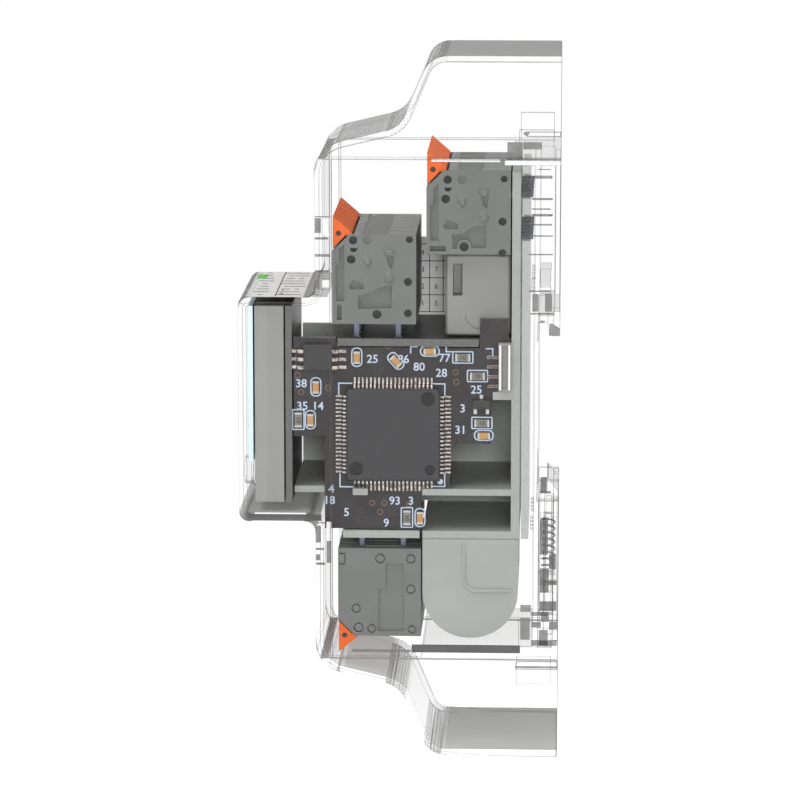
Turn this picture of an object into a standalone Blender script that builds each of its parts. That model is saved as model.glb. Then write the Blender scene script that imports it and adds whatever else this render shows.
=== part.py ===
"""A see-through electricity meter for a 35 mm rail, two modules wide.

The frame: X is the width, Y the depth with the display towards -Y, Z is up.
The origin is the middle of the seat that lies against the rail. Metres throughout.
"""

import math

import bmesh
import bpy
from mathutils import Matrix, Vector

# Shared clearances
GAP = 0.0003  # between pieces that touch or slide
SEAM = 0.0003  # between the four shells of the case
OVERSHOOT = 0.001  # how far a cutter runs past what it cuts
SINK = 0.0002  # how far a joined rib is set into its wall
SHY = 0.0001  # how far a flange or guide stops short of the back
MERGE = 0.000001  # points closer than this are one
ROD_STEPS = 24
BEVEL_ANGLE = 60  # degrees; flatter edges stay sharp
SMOOTH_ANGLE = 40  # degrees; steeper edges stay crisp

# Terminal rows
POLES = 6
POLE_PITCH = 0.005
BLOCK_DEPTH = 0.0165
BLOCK_HEIGHT = 0.0178
REAR_BLOCK_HEIGHT = 0.0166
BLOCK_CHAMFER = 0.0034
TIER_GAP = 0.0020  # between the rear row and the front row
TIER_DROP = 0.0127  # the front row's top below the rear row's top
LOWER_SETBACK = 0.0010  # the lower row's face behind the front row's face
LOWER_ROW_ROOM = 0.0040  # from the lower row's foot down to the covers
ENTRY_WIDTH = 0.0034
ENTRY_LENGTH = 0.0040
ENTRY_SETBACK = 0.0065
ENTRY_DEPTH = 0.0095

# Levers
LEVER_GAP = 0.0012  # between neighbouring levers
LEVER_HUB = 0.0006
LEVER_GROOVE = 0.0010
LEVER_RISE = 0.0035  # the tip above the block's top
LEVER_INSET = 0.0001  # the lever's face behind the block's face
LEVER_ROOM = 0.0019  # from the front row to the shoulder wall

# Contacts, stamped from sheet
CONTACT_SHEET = 0.0008
CONTACT_BODY = 0.0070
CONTACT_REACH = 0.0010  # how far a rear contact stands into its wire entry
PIN_WIDTH = 0.0010
PIN_TAIL = 0.0006  # past the board
PIN_INSET = 0.0047  # from the block's face to the nearer pin
PIN_SPACING = 0.0082
REAR_PIN_DROP = 0.0050  # from the rear row's top to its upper pins
REAR_PIN_SPACING = 0.0083
FRONT_STANDOFF = 0.0029  # from the front row down to its board
LOWER_STANDOFF = 0.0022  # from the lower row up to its board

# Boards and carrier
BOARD = 0.0015
DISPLAY_BOARD = 0.0013
CARRIER_WALL = 0.0017
SHELF_TOP = -0.0160
SHELF_THICKNESS = 0.0013
CUP_DEPTH = 0.0217
CUP_WALL = 0.0014
MAIN_FRONT_STEP_Z = -0.0056  # where the main board steps in, in front
MAIN_REAR_STEP_Z = -0.0069  # and behind
MAIN_WAIST_Y = -0.0175
MAIN_TAB_Z = 0.0030
MAIN_TAB_STEP = 0.0034
MAIN_TAB_WIDTH = 0.0056
MAIN_TAB_RISE = 0.0040
CHIP_SIDE = 0.0186
CHIP_HEIGHT = 0.0011
CHIP_Y = -0.0287
CHIP_Z = -0.0051
CHIP_EDGE = 0.0003
SUPPLY_DEPTH = 0.0128
SUPPLY_EDGE = 0.0005
SUPPLY_SLOT_WIDTH = 0.0018
SUPPLY_SLOT_HEIGHT = 0.0062
SUPPLY_SLOT_INSET = 0.0016
SUPPLY_SLOT_DROP = 0.0018
SUPPLY_SLOT_DEPTH = 0.0012

# Current transformers in the cup
TRANSFORMERS = 3
TRANSFORMER_BORE = 0.0040
TRANSFORMER_LENGTH = 0.0080
TRANSFORMER_EDGE = 0.0008
TRANSFORMER_STEPS = 28

# Case
SIDE_ROOM = 0.0013  # from the terminal rows to the side walls
SIDE_WALL = 0.0012
BACK_WALL = 0.0010
SHOULDER_WALL = 0.0015
NOSE_WALL = 0.0017
NOSE_HEIGHT = 0.0450
NOSE_DEPTH = 0.0151
NOSE_ROUND = 0.0020
NOSE_ROOT_ROUND = 0.0018
FRONT_SKIRT = 0.0032  # from the shoulder's face back to the front shell's rim
CASE_HALF = 0.0500  # from the rail's middle to the covers
ROW_ROOM = 0.0025  # from the rear row's top up to the covers

# Terminal covers
COVER_RISE = 0.0200
COVER_WALL = 0.0012
COVER_TOP_REACH = 0.0214
COVER_WAIST_REACH = 0.02735
COVER_WAIST_RISE = 0.0060
COVER_BROW_RISE = 0.0020
COVER_TOP_ROUND = 0.0045
COVER_WAIST_ROUND = 0.0055
COVER_BROW_ROUND = 0.0065
ROUND_STEPS = 7
TONGUE_LENGTH = 0.0068
TONGUE_RISE = 0.0056
TONGUE_THICKNESS = 0.0011
ROOF = 0.0012
ROOF_REACH = 0.0052
FLOOR = 0.0022
FLOOR_REACH = 0.0230

# Rail side
BACK_DEPTH = 0.0041  # how far the back stands behind the rail's face
RAIL_HALF = 0.0178
RAIL_FLANGE = 0.0017
SEAT_HALF = 0.0142
SEAT_RISE = 0.0003
HOOK_LIP = 0.0026
HOOK_LEAD = 0.0010
RAIL_RIB = 0.0012
FLANGE_INSET = 0.0065
FLANGE = 0.0011
UPPER_RIB_Z = 0.0235
BOSS_RADIUS = 0.0015
BOSS_X = 0.0090
BOSS_Z = 0.0240
BOSS_STEPS = 12

# Rail foot and spring
FOOT_HALF = 0.0080
FOOT_LIP = 0.0030
FOOT_LENGTH = 0.0279
FOOT_TRAVEL = 0.0045
FOOT_LEAD = 0.0025
TONGUE_SIDE = 0.0012  # the foot's guide tongue
TONGUE_DEPTH = 0.0012
TONGUE_INSET = 0.0040
GUIDE_WALL = 0.0012
SPRING_RADIUS = 0.0013
SPRING_WIRE = 0.0004
SPRING_TURNS = 8
SPRING_LENGTH = 0.0114
SPRING_POINTS = 10
WINDOW_DROP = 0.0061  # from the foot's shoulder to the spring window
LEDGE = 0.0018
PRY_SLOT = 0.0020
PRY_SLOT_RISE = 0.0028

# Display and button
GLASS = 0.0010
GLASS_FOOT = -0.0109
BACKLIGHT = 0.0058
BACKLIGHT_FOOT = -0.0189
BACKLIGHT_NOTCH = 0.0018
BUTTON_Z = -0.0153
BUTTON_RADIUS = 0.0026
BUTTON_FLANGE = 0.0034
BUTTON_FLANGE_THICKNESS = 0.0005
BUTTON_TRAVEL = 0.0005
SWITCH_SIDE = 0.0040
BUTTON_STEPS = 24

# Places that follow from the sizes above, from back to front
ROW_HALF = POLES * POLE_PITCH / 2
INNER_HALF = ROW_HALF + SIDE_ROOM
CASE_SIDE = INNER_HALF + SIDE_WALL
BACK_FACE = -BACK_WALL
REAR_BOARD_BACK = BACK_FACE - GAP - PIN_TAIL
REAR_BOARD_FRONT = REAR_BOARD_BACK - BOARD
CARRIER_BACK = REAR_BOARD_FRONT - GAP
CARRIER_FRONT = CARRIER_BACK - CARRIER_WALL
REAR_ROW_BACK = CARRIER_FRONT - GAP
REAR_ROW_FACE = REAR_ROW_BACK - BLOCK_DEPTH
FRONT_ROW_BACK = REAR_ROW_FACE - TIER_GAP
FRONT_ROW_FACE = FRONT_ROW_BACK - BLOCK_DEPTH
LOWER_ROW_FACE = FRONT_ROW_FACE + LOWER_SETBACK
LOWER_ROW_BACK = LOWER_ROW_FACE + BLOCK_DEPTH
SHOULDER_INNER = FRONT_ROW_FACE - LEVER_ROOM
SHOULDER_FACE = SHOULDER_INNER - SHOULDER_WALL
NOSE_FACE = SHOULDER_FACE - NOSE_DEPTH
SEAM_Y = SHOULDER_FACE + FRONT_SKIRT
GLASS_FRONT = NOSE_FACE + SHOULDER_WALL + GAP
BACKLIGHT_FRONT = GLASS_FRONT + GLASS + GAP
DISPLAY_BOARD_FRONT = BACKLIGHT_FRONT + BACKLIGHT + GAP
MAIN_FRONT = DISPLAY_BOARD_FRONT + DISPLAY_BOARD + GAP
MAIN_END = REAR_ROW_BACK - GAP
MAIN_TAB_FRONT = MAIN_END - MAIN_TAB_WIDTH
UPPER_BOARD_FRONT = FRONT_ROW_FACE + LOWER_SETBACK
REAR_CONTACT_BODY = BLOCK_DEPTH - ENTRY_SETBACK - ENTRY_LENGTH + CONTACT_REACH
MAIN_FACE_X = INNER_HALF - GAP - CHIP_HEIGHT
MAIN_BACK_X = MAIN_FACE_X - GAP - BOARD
CUP_BACK = CARRIER_BACK - SINK
CUP_FRONT = LOWER_ROW_BACK + GAP
CUP_RADIUS = (CUP_BACK - CUP_FRONT) / 2

# Heights that follow from the sizes above
NOSE_HALF = NOSE_HEIGHT / 2
NOSE_INNER = NOSE_HALF - NOSE_WALL
REAR_ROW_TOP = CASE_HALF - ROW_ROOM
REAR_ROW_FOOT = REAR_ROW_TOP - REAR_BLOCK_HEIGHT
FRONT_ROW_TOP = REAR_ROW_TOP - TIER_DROP
FRONT_ROW_FOOT = FRONT_ROW_TOP - BLOCK_HEIGHT
UPPER_BOARD_TOP = FRONT_ROW_FOOT - FRONT_STANDOFF
UPPER_BOARD_FOOT = UPPER_BOARD_TOP - BOARD
LOWER_ROW_FOOT = LOWER_ROW_ROOM - CASE_HALF
LOWER_ROW_TOP = LOWER_ROW_FOOT + BLOCK_HEIGHT
LOWER_BOARD_FOOT = LOWER_ROW_TOP + LOWER_STANDOFF
LOWER_BOARD_TOP = LOWER_BOARD_FOOT + BOARD
CUP_FOOT = LOWER_BOARD_TOP - CUP_DEPTH
CASE_TOP = CASE_HALF + COVER_RISE
FOOT_SHOULDER = -RAIL_HALF - GAP
FOOT_END = FOOT_SHOULDER - FOOT_LENGTH
WINDOW_TOP = FOOT_SHOULDER - WINDOW_DROP
LEDGE_TOP = WINDOW_TOP - SPRING_LENGTH - 2 * GAP
WINDOW_END = LEDGE_TOP - LEDGE - GAP
WINDOW_HALF = SPRING_RADIUS + SPRING_WIRE / 2 + 2 * GAP
FOOT_FRONT = GAP
FOOT_BACK = BACK_DEPTH - GAP
POLE_XS = [(i + 0.5) * POLE_PITCH - ROW_HALF for i in range(POLES)]

# Finishes: colour, roughness, metallic
CLEAR = ((0.94, 0.96, 0.97), 0.05, 0.0)
GREY = ((0.22, 0.23, 0.22), 0.45, 0.0)
ORANGE = ((0.87, 0.16, 0.03), 0.40, 0.0)
TINNED = ((0.55, 0.57, 0.62), 0.30, 1.0)
PALE = ((0.45, 0.47, 0.43), 0.55, 0.0)
BLACK_BOARD = ((0.03, 0.03, 0.03), 0.50, 0.0)
CHIP_BLACK = ((0.05, 0.05, 0.05), 0.60, 0.0)
GLASS_BLUE = ((0.58, 0.79, 0.96), 0.10, 0.0)
MID_GREY = ((0.35, 0.35, 0.34), 0.50, 0.0)
FERRITE = ((0.10, 0.10, 0.11), 0.60, 0.0)
STEEL = ((0.60, 0.60, 0.60), 0.25, 1.0)


# The scene and its collections


def clear_scene():
    for obj in list(bpy.data.objects):
        bpy.data.objects.remove(obj, do_unlink=True)


def new_collection(name):
    collection = bpy.data.collections.new(name)
    bpy.context.scene.collection.children.link(collection)
    return collection


clear_scene()
PARTS = new_collection("electricity_meter")
TOOLS = new_collection("cutters")
FRAME = bpy.data.objects.new("meter_frame", None)
PARTS.objects.link(FRAME)


# Small helpers that make solids


def add_mesh(name, mesh, origin=(0, 0, 0)):
    """An object in the cutters collection with its mesh moved to the given origin."""
    mesh.transform(Matrix.Translation(-Vector(origin)))
    obj = bpy.data.objects.new(name, mesh)
    obj.location = origin
    TOOLS.objects.link(obj)
    obj.hide_render = True
    obj.display_type = "WIRE"
    return obj


def box(name, low, high):
    """A box between two corners."""
    low, high = Vector(low), Vector(high)
    mesh = bpy.data.meshes.new(name)
    bm = bmesh.new()
    place = Matrix.Translation((low + high) / 2) @ Matrix.Diagonal((*(high - low), 1))
    bmesh.ops.create_cube(bm, size=1, matrix=place)
    bm.to_mesh(mesh)
    bm.free()
    return add_mesh(name, mesh, (low + high) / 2)


def boxes(name, corners):
    """Several boxes that don't meet, as one cutter."""
    mesh = bpy.data.meshes.new(name)
    bm = bmesh.new()
    for low, high in corners:
        low, high = Vector(low), Vector(high)
        place = Matrix.Translation((low + high) / 2) @ Matrix.Diagonal((*(high - low), 1))
        bmesh.ops.create_cube(bm, size=1, matrix=place)
    bm.to_mesh(mesh)
    bm.free()
    return add_mesh(name, mesh)


def rod(name, axis, start, end, radius, steps=ROD_STEPS):
    """A round rod between two points along X, Y or Z."""
    start, end = Vector(start), Vector(end)
    turn = Vector((0, 0, 1)).rotation_difference(Vector(axis)).to_matrix().to_4x4()
    mesh = bpy.data.meshes.new(name)
    bm = bmesh.new()
    bmesh.ops.create_cone(
        bm,
        cap_ends=True,
        segments=steps,
        radius1=radius,
        radius2=radius,
        depth=(end - start).length,
        matrix=Matrix.Translation((start + end) / 2) @ turn,
    )
    bm.to_mesh(mesh)
    bm.free()
    return add_mesh(name, mesh)


def side_solid(name, outline, x_low, x_high, origin=(0, 0, 0)):
    """A flat outline seen from the side, given as (y, z), filled between two widths."""
    curve = bpy.data.curves.new(name, "CURVE")
    curve.dimensions = "2D"
    curve.fill_mode = "BOTH"
    curve.extrude = (x_high - x_low) / 2
    spline = curve.splines.new("POLY")
    spline.points.add(len(outline) - 1)
    for point, (y, z) in zip(spline.points, outline):
        point.co = (y, z, 0, 1)
    spline.use_cyclic_u = True
    flat = bpy.data.objects.new(name + "_outline", curve)
    TOOLS.objects.link(flat)
    shown = flat.evaluated_get(bpy.context.evaluated_depsgraph_get())
    mesh = bpy.data.meshes.new_from_object(shown)
    bpy.data.objects.remove(flat)
    middle = (x_low + x_high) / 2
    upright = Matrix(((0, 0, 1, middle), (1, 0, 0, 0), (0, 1, 0, 0), (0, 0, 0, 1)))
    mesh.transform(upright)
    bm = bmesh.new()
    bm.from_mesh(mesh)
    bmesh.ops.remove_doubles(bm, verts=bm.verts, dist=MERGE)
    bmesh.ops.recalc_face_normals(bm, faces=bm.faces)
    bm.to_mesh(mesh)
    bm.free()
    return add_mesh(name, mesh, origin)


def turned(name, profile, steps, place, closed=False):
    """A turned piece: profile points are (radius, height), from top to bottom."""
    mesh = bpy.data.meshes.new(name)
    bm = bmesh.new()
    points = [bm.verts.new((r, 0, z)) for r, z in profile]
    pairs = list(zip(points, points[1:]))
    if closed:
        pairs.append((points[-1], points[0]))
    for a, b in pairs:
        bm.edges.new((a, b))
    bm.to_mesh(mesh)
    bm.free()
    obj = add_mesh(name, mesh)
    screw = obj.modifiers.new("turn", "SCREW")
    screw.steps = steps
    screw.render_steps = steps
    screw.use_merge_vertices = True
    screw.merge_threshold = MERGE
    obj.matrix_world = place
    return obj


def change(target, tool, operation):
    """Cuts, joins or trims the target with the tool."""
    modifier = target.modifiers.new(tool.name, "BOOLEAN")
    modifier.operation = operation
    modifier.solver = "EXACT"
    modifier.object = tool


def cut(target, *tools):
    for tool in tools:
        change(target, tool, "DIFFERENCE")


def join(target, *tools):
    for tool in tools:
        change(target, tool, "UNION")


def soften(target, width, segments=1):
    """A small bevel on every square edge."""
    modifier = target.modifiers.new("edges", "BEVEL")
    modifier.width = width
    modifier.segments = segments
    modifier.limit_method = "ANGLE"
    modifier.angle_limit = math.radians(BEVEL_ANGLE)


def finish(obj, look, smooth=False):
    """Moves a made solid to the parts, with a material of its own."""
    colour, roughness, metallic = look
    TOOLS.objects.unlink(obj)
    PARTS.objects.link(obj)
    obj.hide_render = False
    obj.display_type = "TEXTURED"
    obj.parent = FRAME
    material = bpy.data.materials.new(obj.name)
    material.use_nodes = True
    shader = material.node_tree.nodes["Principled BSDF"]
    shader.inputs["Base Color"].default_value = (*colour, 1)
    shader.inputs["Roughness"].default_value = roughness
    shader.inputs["Metallic"].default_value = metallic
    if look is CLEAR:
        shader.inputs["Transmission Weight"].default_value = 1
    obj.data.materials.append(material)
    if smooth:
        obj.data.shade_smooth()
        obj.data.set_sharp_from_angle(angle=math.radians(SMOOTH_ANGLE))
    return obj


# Outlines with rounded and offset corners


def rounded(corners, steps=ROUND_STEPS):
    """Points round an outline whose corners are (y, z, radius), radius 0 for a sharp one."""
    outline = []
    for i, (y, z, radius) in enumerate(corners):
        here = Vector((y, z))
        if radius <= 0:
            outline.append((y, z))
            continue
        back = (Vector(corners[i - 1][:2]) - here).normalized()
        ahead = (Vector(corners[(i + 1) % len(corners)][:2]) - here).normalized()
        half = math.acos(max(-1, min(1, back.dot(ahead)))) / 2
        centre = here + (back + ahead).normalized() * (radius / math.sin(half))
        start = here + back * (radius / math.tan(half)) - centre
        end = here + ahead * (radius / math.tan(half)) - centre
        sweep = start.angle_signed(end)
        for step in range(steps + 1):
            arm = start.copy()
            arm.rotate(Matrix.Rotation(-sweep * step / steps, 2))
            outline.append(tuple(centre + arm))
    return outline


def inset(corners, walls):
    """The same outline moved in by one wall for each edge; edge i leaves corner i."""
    count = len(corners)
    area = sum(
        corners[i][0] * corners[(i + 1) % count][1] - corners[(i + 1) % count][0] * corners[i][1]
        for i in range(count)
    )
    turn = 1 if area > 0 else -1
    lines = []
    for i in range(count):
        a = Vector(corners[i][:2])
        b = Vector(corners[(i + 1) % count][:2])
        along = (b - a).normalized()
        inward = Vector((-along.y, along.x)) * turn
        lines.append((a + inward * walls[i], along))
    moved = []
    for i in range(count):
        (p, d), (q, e) = lines[i - 1], lines[i]
        cross = d.x * e.y - d.y * e.x
        t = ((q - p).x * e.y - (q - p).y * e.x) / cross
        corner = p + d * t
        before = Vector(corners[i][:2]) - Vector(corners[i - 1][:2])
        after = Vector(corners[(i + 1) % count][:2]) - Vector(corners[i][:2])
        convex = (before.x * after.y - before.y * after.x) * turn > 0
        radius = corners[i][2]
        if radius:
            radius = max(radius - walls[i], GAP) if convex else radius + walls[i]
        moved.append((corner.x, corner.y, radius))
    return moved


# The case: one outline, hollowed and split into four shells


def case_corners():
    """The case from the side, round by the top, the display and the foot."""
    upper = [
        (BACK_DEPTH, CASE_TOP, 0),
        (-COVER_TOP_REACH, CASE_TOP, COVER_TOP_ROUND),
        (-COVER_WAIST_REACH, CASE_HALF + COVER_WAIST_RISE, COVER_WAIST_ROUND),
        (SHOULDER_FACE, CASE_HALF + COVER_BROW_RISE, COVER_BROW_ROUND),
        (SHOULDER_FACE, NOSE_HALF, NOSE_ROOT_ROUND),
        (NOSE_FACE, NOSE_HALF, NOSE_ROUND),
    ]
    return upper + [(y, -z, radius) for y, z, radius in reversed(upper)]


CASE_WALLS = [
    COVER_WALL,
    COVER_WALL,
    COVER_WALL,
    SHOULDER_WALL,
    NOSE_WALL,
    SHOULDER_WALL,
    NOSE_WALL,
    SHOULDER_WALL,
    COVER_WALL,
    COVER_WALL,
    COVER_WALL,
    -OVERSHOOT,  # the back stays open
]


def case_shell(name, y_low, y_high, z_low, z_high):
    """The part of the hollow case inside a window seen from the side."""
    corners = case_corners()
    shell = side_solid(name, rounded(corners), -CASE_SIDE, CASE_SIDE)
    hollow = side_solid(
        name + "_hollow", rounded(inset(corners, CASE_WALLS)), -INNER_HALF, INNER_HALF
    )
    side = CASE_SIDE + OVERSHOOT
    window = box(name + "_window", (-side, y_low, z_low), (side, y_high, z_high))
    cut(shell, hollow)
    change(shell, window, "INTERSECT")
    return shell


FAR_FRONT = NOSE_FACE - OVERSHOOT
FAR_BACK = BACK_DEPTH + OVERSHOOT
FAR_UP = CASE_TOP + OVERSHOOT
RIM_Z = CASE_HALF - SEAM / 2
SEAM_BACK = SEAM_Y + SEAM / 2
SEAM_FRONT = SEAM_Y - SEAM / 2


def make_covers():
    for name, sign in (("upper_terminal_cover", 1), ("lower_terminal_cover", -1)):
        edge = sign * (CASE_HALF + SEAM / 2)
        low, high = sorted((edge, sign * FAR_UP))
        finish(case_shell(name, FAR_FRONT, FAR_BACK, low, high), CLEAR)


def make_front_housing():
    shell = case_shell("front_housing", FAR_FRONT, SEAM_FRONT, -RIM_Z, RIM_Z)
    hole = rod(
        "button_hole",
        (0, 1, 0),
        (0, NOSE_FACE - OVERSHOOT, BUTTON_Z),
        (0, NOSE_FACE + SHOULDER_WALL + OVERSHOOT, BUTTON_Z),
        BUTTON_RADIUS + GAP,
    )
    cut(shell, hole)
    finish(shell, CLEAR)


def rail_hook():
    """The fixed lip over the rail's upper flange, seen from the side."""
    return [
        (RAIL_FLANGE, RAIL_HALF + RAIL_RIB / 2),
        (RAIL_FLANGE, RAIL_HALF - HOOK_LIP / 2),
        (RAIL_FLANGE + HOOK_LEAD, RAIL_HALF - HOOK_LIP),
        (BACK_DEPTH, RAIL_HALF - HOOK_LIP),
        (BACK_DEPTH, RAIL_HALF + RAIL_RIB / 2),
    ]


def foot_guides():
    """Where the two grooved rails that carry the foot start and end in width."""
    inner = FOOT_HALF + GAP
    return inner, inner + TONGUE_SIDE + GUIDE_WALL


def make_base_housing():
    shell = case_shell("base_housing", SEAM_BACK, FAR_BACK, -RIM_Z, RIM_Z)
    wide = INNER_HALF + SINK
    side = CASE_SIDE + OVERSHOOT
    inner, outer = foot_guides()
    tail = inner + TONGUE_SIDE
    tongue_middle = (FOOT_FRONT + FOOT_BACK) / 2

    cut(shell, box("rail_slot", (-side, 0, -RAIL_HALF), (side, FAR_BACK, RAIL_HALF)))
    join(shell, box("back_wall", (-wide, BACK_FACE, -RIM_Z), (wide, 0, RIM_Z)))
    join(
        shell,
        box("roof", (-wide, -ROOF_REACH, RIM_Z - ROOF), (wide, BACK_DEPTH, RIM_Z)),
        box("floor", (-wide, -FLOOR_REACH, -RIM_Z), (wide, BACK_DEPTH, FLOOR - RIM_Z)),
        box("upper_rib", (-wide, -SINK, RAIL_HALF), (wide, BACK_DEPTH, RAIL_HALF + RAIL_RIB)),
        box("second_rib", (-wide, -SINK, UPPER_RIB_Z), (wide, FLANGE * 2, UPPER_RIB_Z + RAIL_RIB)),
    )
    join(shell, side_solid("hook", rail_hook(), -CASE_SIDE, CASE_SIDE))

    # Flanges that close the back beside the foot, above and below the rail
    start = CASE_SIDE - FLANGE_INSET
    for sign in (-1, 1):
        for level in (-1, 1):
            xs = sorted((sign * start, sign * wide))
            zs = sorted((level * (RAIL_HALF + SINK), level * (RIM_Z - SINK)))
            flange = box(
                f"flange_{sign}_{level}",
                (xs[0], BACK_DEPTH - FLANGE, zs[0]),
                (xs[1], BACK_DEPTH - SHY, zs[1]),
            )
            join(shell, flange)

    # The foot leaves through the floor; its guides' grooves end where its travel ends
    groove_end = FOOT_END + TONGUE_INSET - FOOT_TRAVEL - GAP
    gate = box(
        "foot_gate",
        (-inner, 0, -RIM_Z - OVERSHOOT),
        (inner, FAR_BACK, FLOOR - RIM_Z + OVERSHOOT),
    )
    cut(shell, gate)
    for sign in (-1, 1):
        xs = sorted((sign * inner, sign * outer))
        guide = box(
            f"guide_{sign}",
            (xs[0], -SINK, SINK - RIM_Z),
            (xs[1], BACK_DEPTH - SHY / 2, -RAIL_HALF - RAIL_RIB),
        )
        join(shell, guide)
        xs = sorted((sign * (inner - OVERSHOOT), sign * tail))
        groove = box(
            f"groove_{sign}",
            (xs[0], tongue_middle - TONGUE_DEPTH / 2 - GAP, groove_end),
            (xs[1], tongue_middle + TONGUE_DEPTH / 2 + GAP, FOOT_SHOULDER - TONGUE_INSET + GAP),
        )
        cut(shell, groove)
    ledge = box(
        "spring_ledge",
        (-WINDOW_HALF + GAP, -SINK, LEDGE_TOP - LEDGE),
        (WINDOW_HALF - GAP, FOOT_BACK - GAP, LEDGE_TOP),
    )
    join(shell, ledge)

    # Tongues that the two covers slip over
    for sign in (-1, 1):
        for level in (-1, 1):
            xs = sorted((sign * (INNER_HALF - GAP), sign * (INNER_HALF - GAP - TONGUE_THICKNESS)))
            zs = sorted((level * (RIM_Z - ROOF / 2), level * (CASE_HALF + TONGUE_RISE)))
            tongue = box(
                f"tongue_{sign}_{level}",
                (xs[0], BACK_DEPTH - FLANGE - GAP - TONGUE_LENGTH, zs[0]),
                (xs[1], BACK_DEPTH - FLANGE - GAP, zs[1]),
            )
            join(shell, tongue)

    # Bosses behind the rear board, and the seat that the rail bears on
    for sign in (-1, 1):
        for level in (-1, 1):
            boss = rod(
                f"boss_{sign}_{level}",
                (0, 1, 0),
                (sign * BOSS_X, REAR_BOARD_BACK + GAP, level * BOSS_Z),
                (sign * BOSS_X, BACK_FACE + SINK, level * BOSS_Z),
                BOSS_RADIUS,
                BOSS_STEPS,
            )
            join(shell, boss)
    relief = boxes(
        "seat_relief",
        [
            ((-side, -SEAT_RISE, SEAT_HALF), (side, RAIL_FLANGE, RAIL_HALF)),
            ((-side, -SEAT_RISE, -RAIL_HALF), (side, RAIL_FLANGE, -SEAT_HALF)),
        ],
    )
    cut(shell, relief)
    finish(shell, CLEAR)


# Terminal rows


def pins_through(name, boards_low, boards_high, places, along):
    """A cutter with one square hole for every pin, along Y or Z."""
    half_x = CONTACT_SHEET / 2 + GAP
    half = PIN_WIDTH / 2 + GAP
    corners = []
    for x in POLE_XS:
        for place in places:
            if along == "Z":
                low = (x - half_x, place - half, boards_low)
                high = (x + half_x, place + half, boards_high)
            else:
                low = (x - half_x, boards_low, place - half)
                high = (x + half_x, boards_high, place + half)
            corners.append((low, high))
    return boxes(name, corners)


def comb(face, back, root, tip, places):
    """A sheet contact: a body from face to back with two legs from root to tip."""
    half = PIN_WIDTH / 2
    first, second = sorted(places)
    return [
        (face, root[0]),
        (face, root[1]),
        (first - half, root[1]),
        (first - half, tip),
        (first + half, tip),
        (first + half, root[1]),
        (second - half, root[1]),
        (second - half, tip),
        (second + half, tip),
        (second + half, root[1]),
        (back, root[1]),
        (back, root[0]),
    ]


def lever_outline(mirror):
    """A lever from the side, about its pivot: front face, tip, and hub."""
    front = LEVER_INSET - BLOCK_CHAMFER + LEVER_INSET
    heel = front - LEVER_INSET + GAP * math.sqrt(2)
    tip = Vector((front, LEVER_RISE))
    reach = math.atan2(tip.y, tip.x) - math.acos(LEVER_HUB / tip.length)
    off_axis = GAP - LEVER_INSET / math.sqrt(2)
    low = math.radians(-135) - math.asin(off_axis / LEVER_HUB)
    points = [(front, heel), (front, LEVER_RISE)]
    for step in range(ROUND_STEPS):
        angle = reach + (low - reach) * step / (ROUND_STEPS - 1)
        points.append((LEVER_HUB * math.cos(angle), LEVER_HUB * math.sin(angle)))
    flip = -1 if mirror else 1
    return [(y, flip * z) for y, z in points]


def make_row(name, face, edge, far, height_out, pin_places, pin_end, pins_along):
    """One terminal row: its block, six levers and six contacts.

    edge is the block's height at the levers and far its height at the other end;
    height_out is 1 where the levers stand up and -1 where they hang down.
    """
    back = face + BLOCK_DEPTH
    pivot_y = face + BLOCK_CHAMFER - LEVER_INSET
    outline = [
        (face, far),
        (face, edge - height_out * BLOCK_CHAMFER),
        (face + BLOCK_CHAMFER, edge),
        (back, edge),
        (back, far),
    ]
    block = side_solid(name + "_terminal_block", outline, -ROW_HALF, ROW_HALF)
    lever_half = (POLE_PITCH - LEVER_GAP) / 2
    ends = POLE_XS[-1] + lever_half + GAP
    groove = rod(
        name + "_lever_groove",
        (1, 0, 0),
        (-ends, pivot_y, edge),
        (ends, pivot_y, edge),
        LEVER_GROOVE,
    )
    cut(block, groove)
    body = CONTACT_BODY if pins_along == "Z" else REAR_CONTACT_BODY
    entries = []
    slots = []
    half = CONTACT_SHEET / 2 + GAP
    inner = face + PIN_INSET - PIN_WIDTH / 2
    for x in POLE_XS:
        zs = sorted((edge + height_out * OVERSHOOT, edge - height_out * ENTRY_DEPTH))
        entries.append(
            (
                (x - ENTRY_WIDTH / 2, face + ENTRY_SETBACK, zs[0]),
                (x + ENTRY_WIDTH / 2, face + ENTRY_SETBACK + ENTRY_LENGTH, zs[1]),
            )
        )
        if pins_along == "Z":
            zs = sorted((far - height_out * OVERSHOOT, far + height_out * (body + 2 * GAP)))
            low = (x - half, inner - GAP, zs[0])
            high = (x + half, inner + PIN_SPACING + PIN_WIDTH + GAP, zs[1])
        else:
            low = (x - half, back - body - 2 * GAP, min(pin_places) - PIN_WIDTH / 2 - GAP)
            high = (x + half, back + OVERSHOOT, max(pin_places) + PIN_WIDTH / 2 + GAP)
        slots.append((low, high))
    cut(block, boxes(name + "_entries", entries), boxes(name + "_slots", slots))
    finish(block, GREY)

    if pins_along == "Z":
        root = (far + height_out * (body + GAP), far + height_out * GAP)
        shape = comb(inner, inner + PIN_SPACING + PIN_WIDTH, root, pin_end, pin_places)
    else:
        root = (back - body - GAP, back - GAP)
        low = min(pin_places) - PIN_WIDTH / 2
        high = max(pin_places) + PIN_WIDTH / 2
        shape = [(y, z) for z, y in comb(low, high, root, pin_end, pin_places)]
    lever = lever_outline(height_out < 0)
    for i, x in enumerate(POLE_XS, 1):
        contact = side_solid(
            f"{name}_contact_{i}", shape, x - CONTACT_SHEET / 2, x + CONTACT_SHEET / 2
        )
        finish(contact, TINNED)
        pivot = (x, pivot_y, edge)
        points = [(pivot_y + y, edge + z) for y, z in lever]
        arm = side_solid(f"{name}_lever_{i}", points, x - lever_half, x + lever_half, pivot)
        finish(arm, ORANGE)


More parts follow.
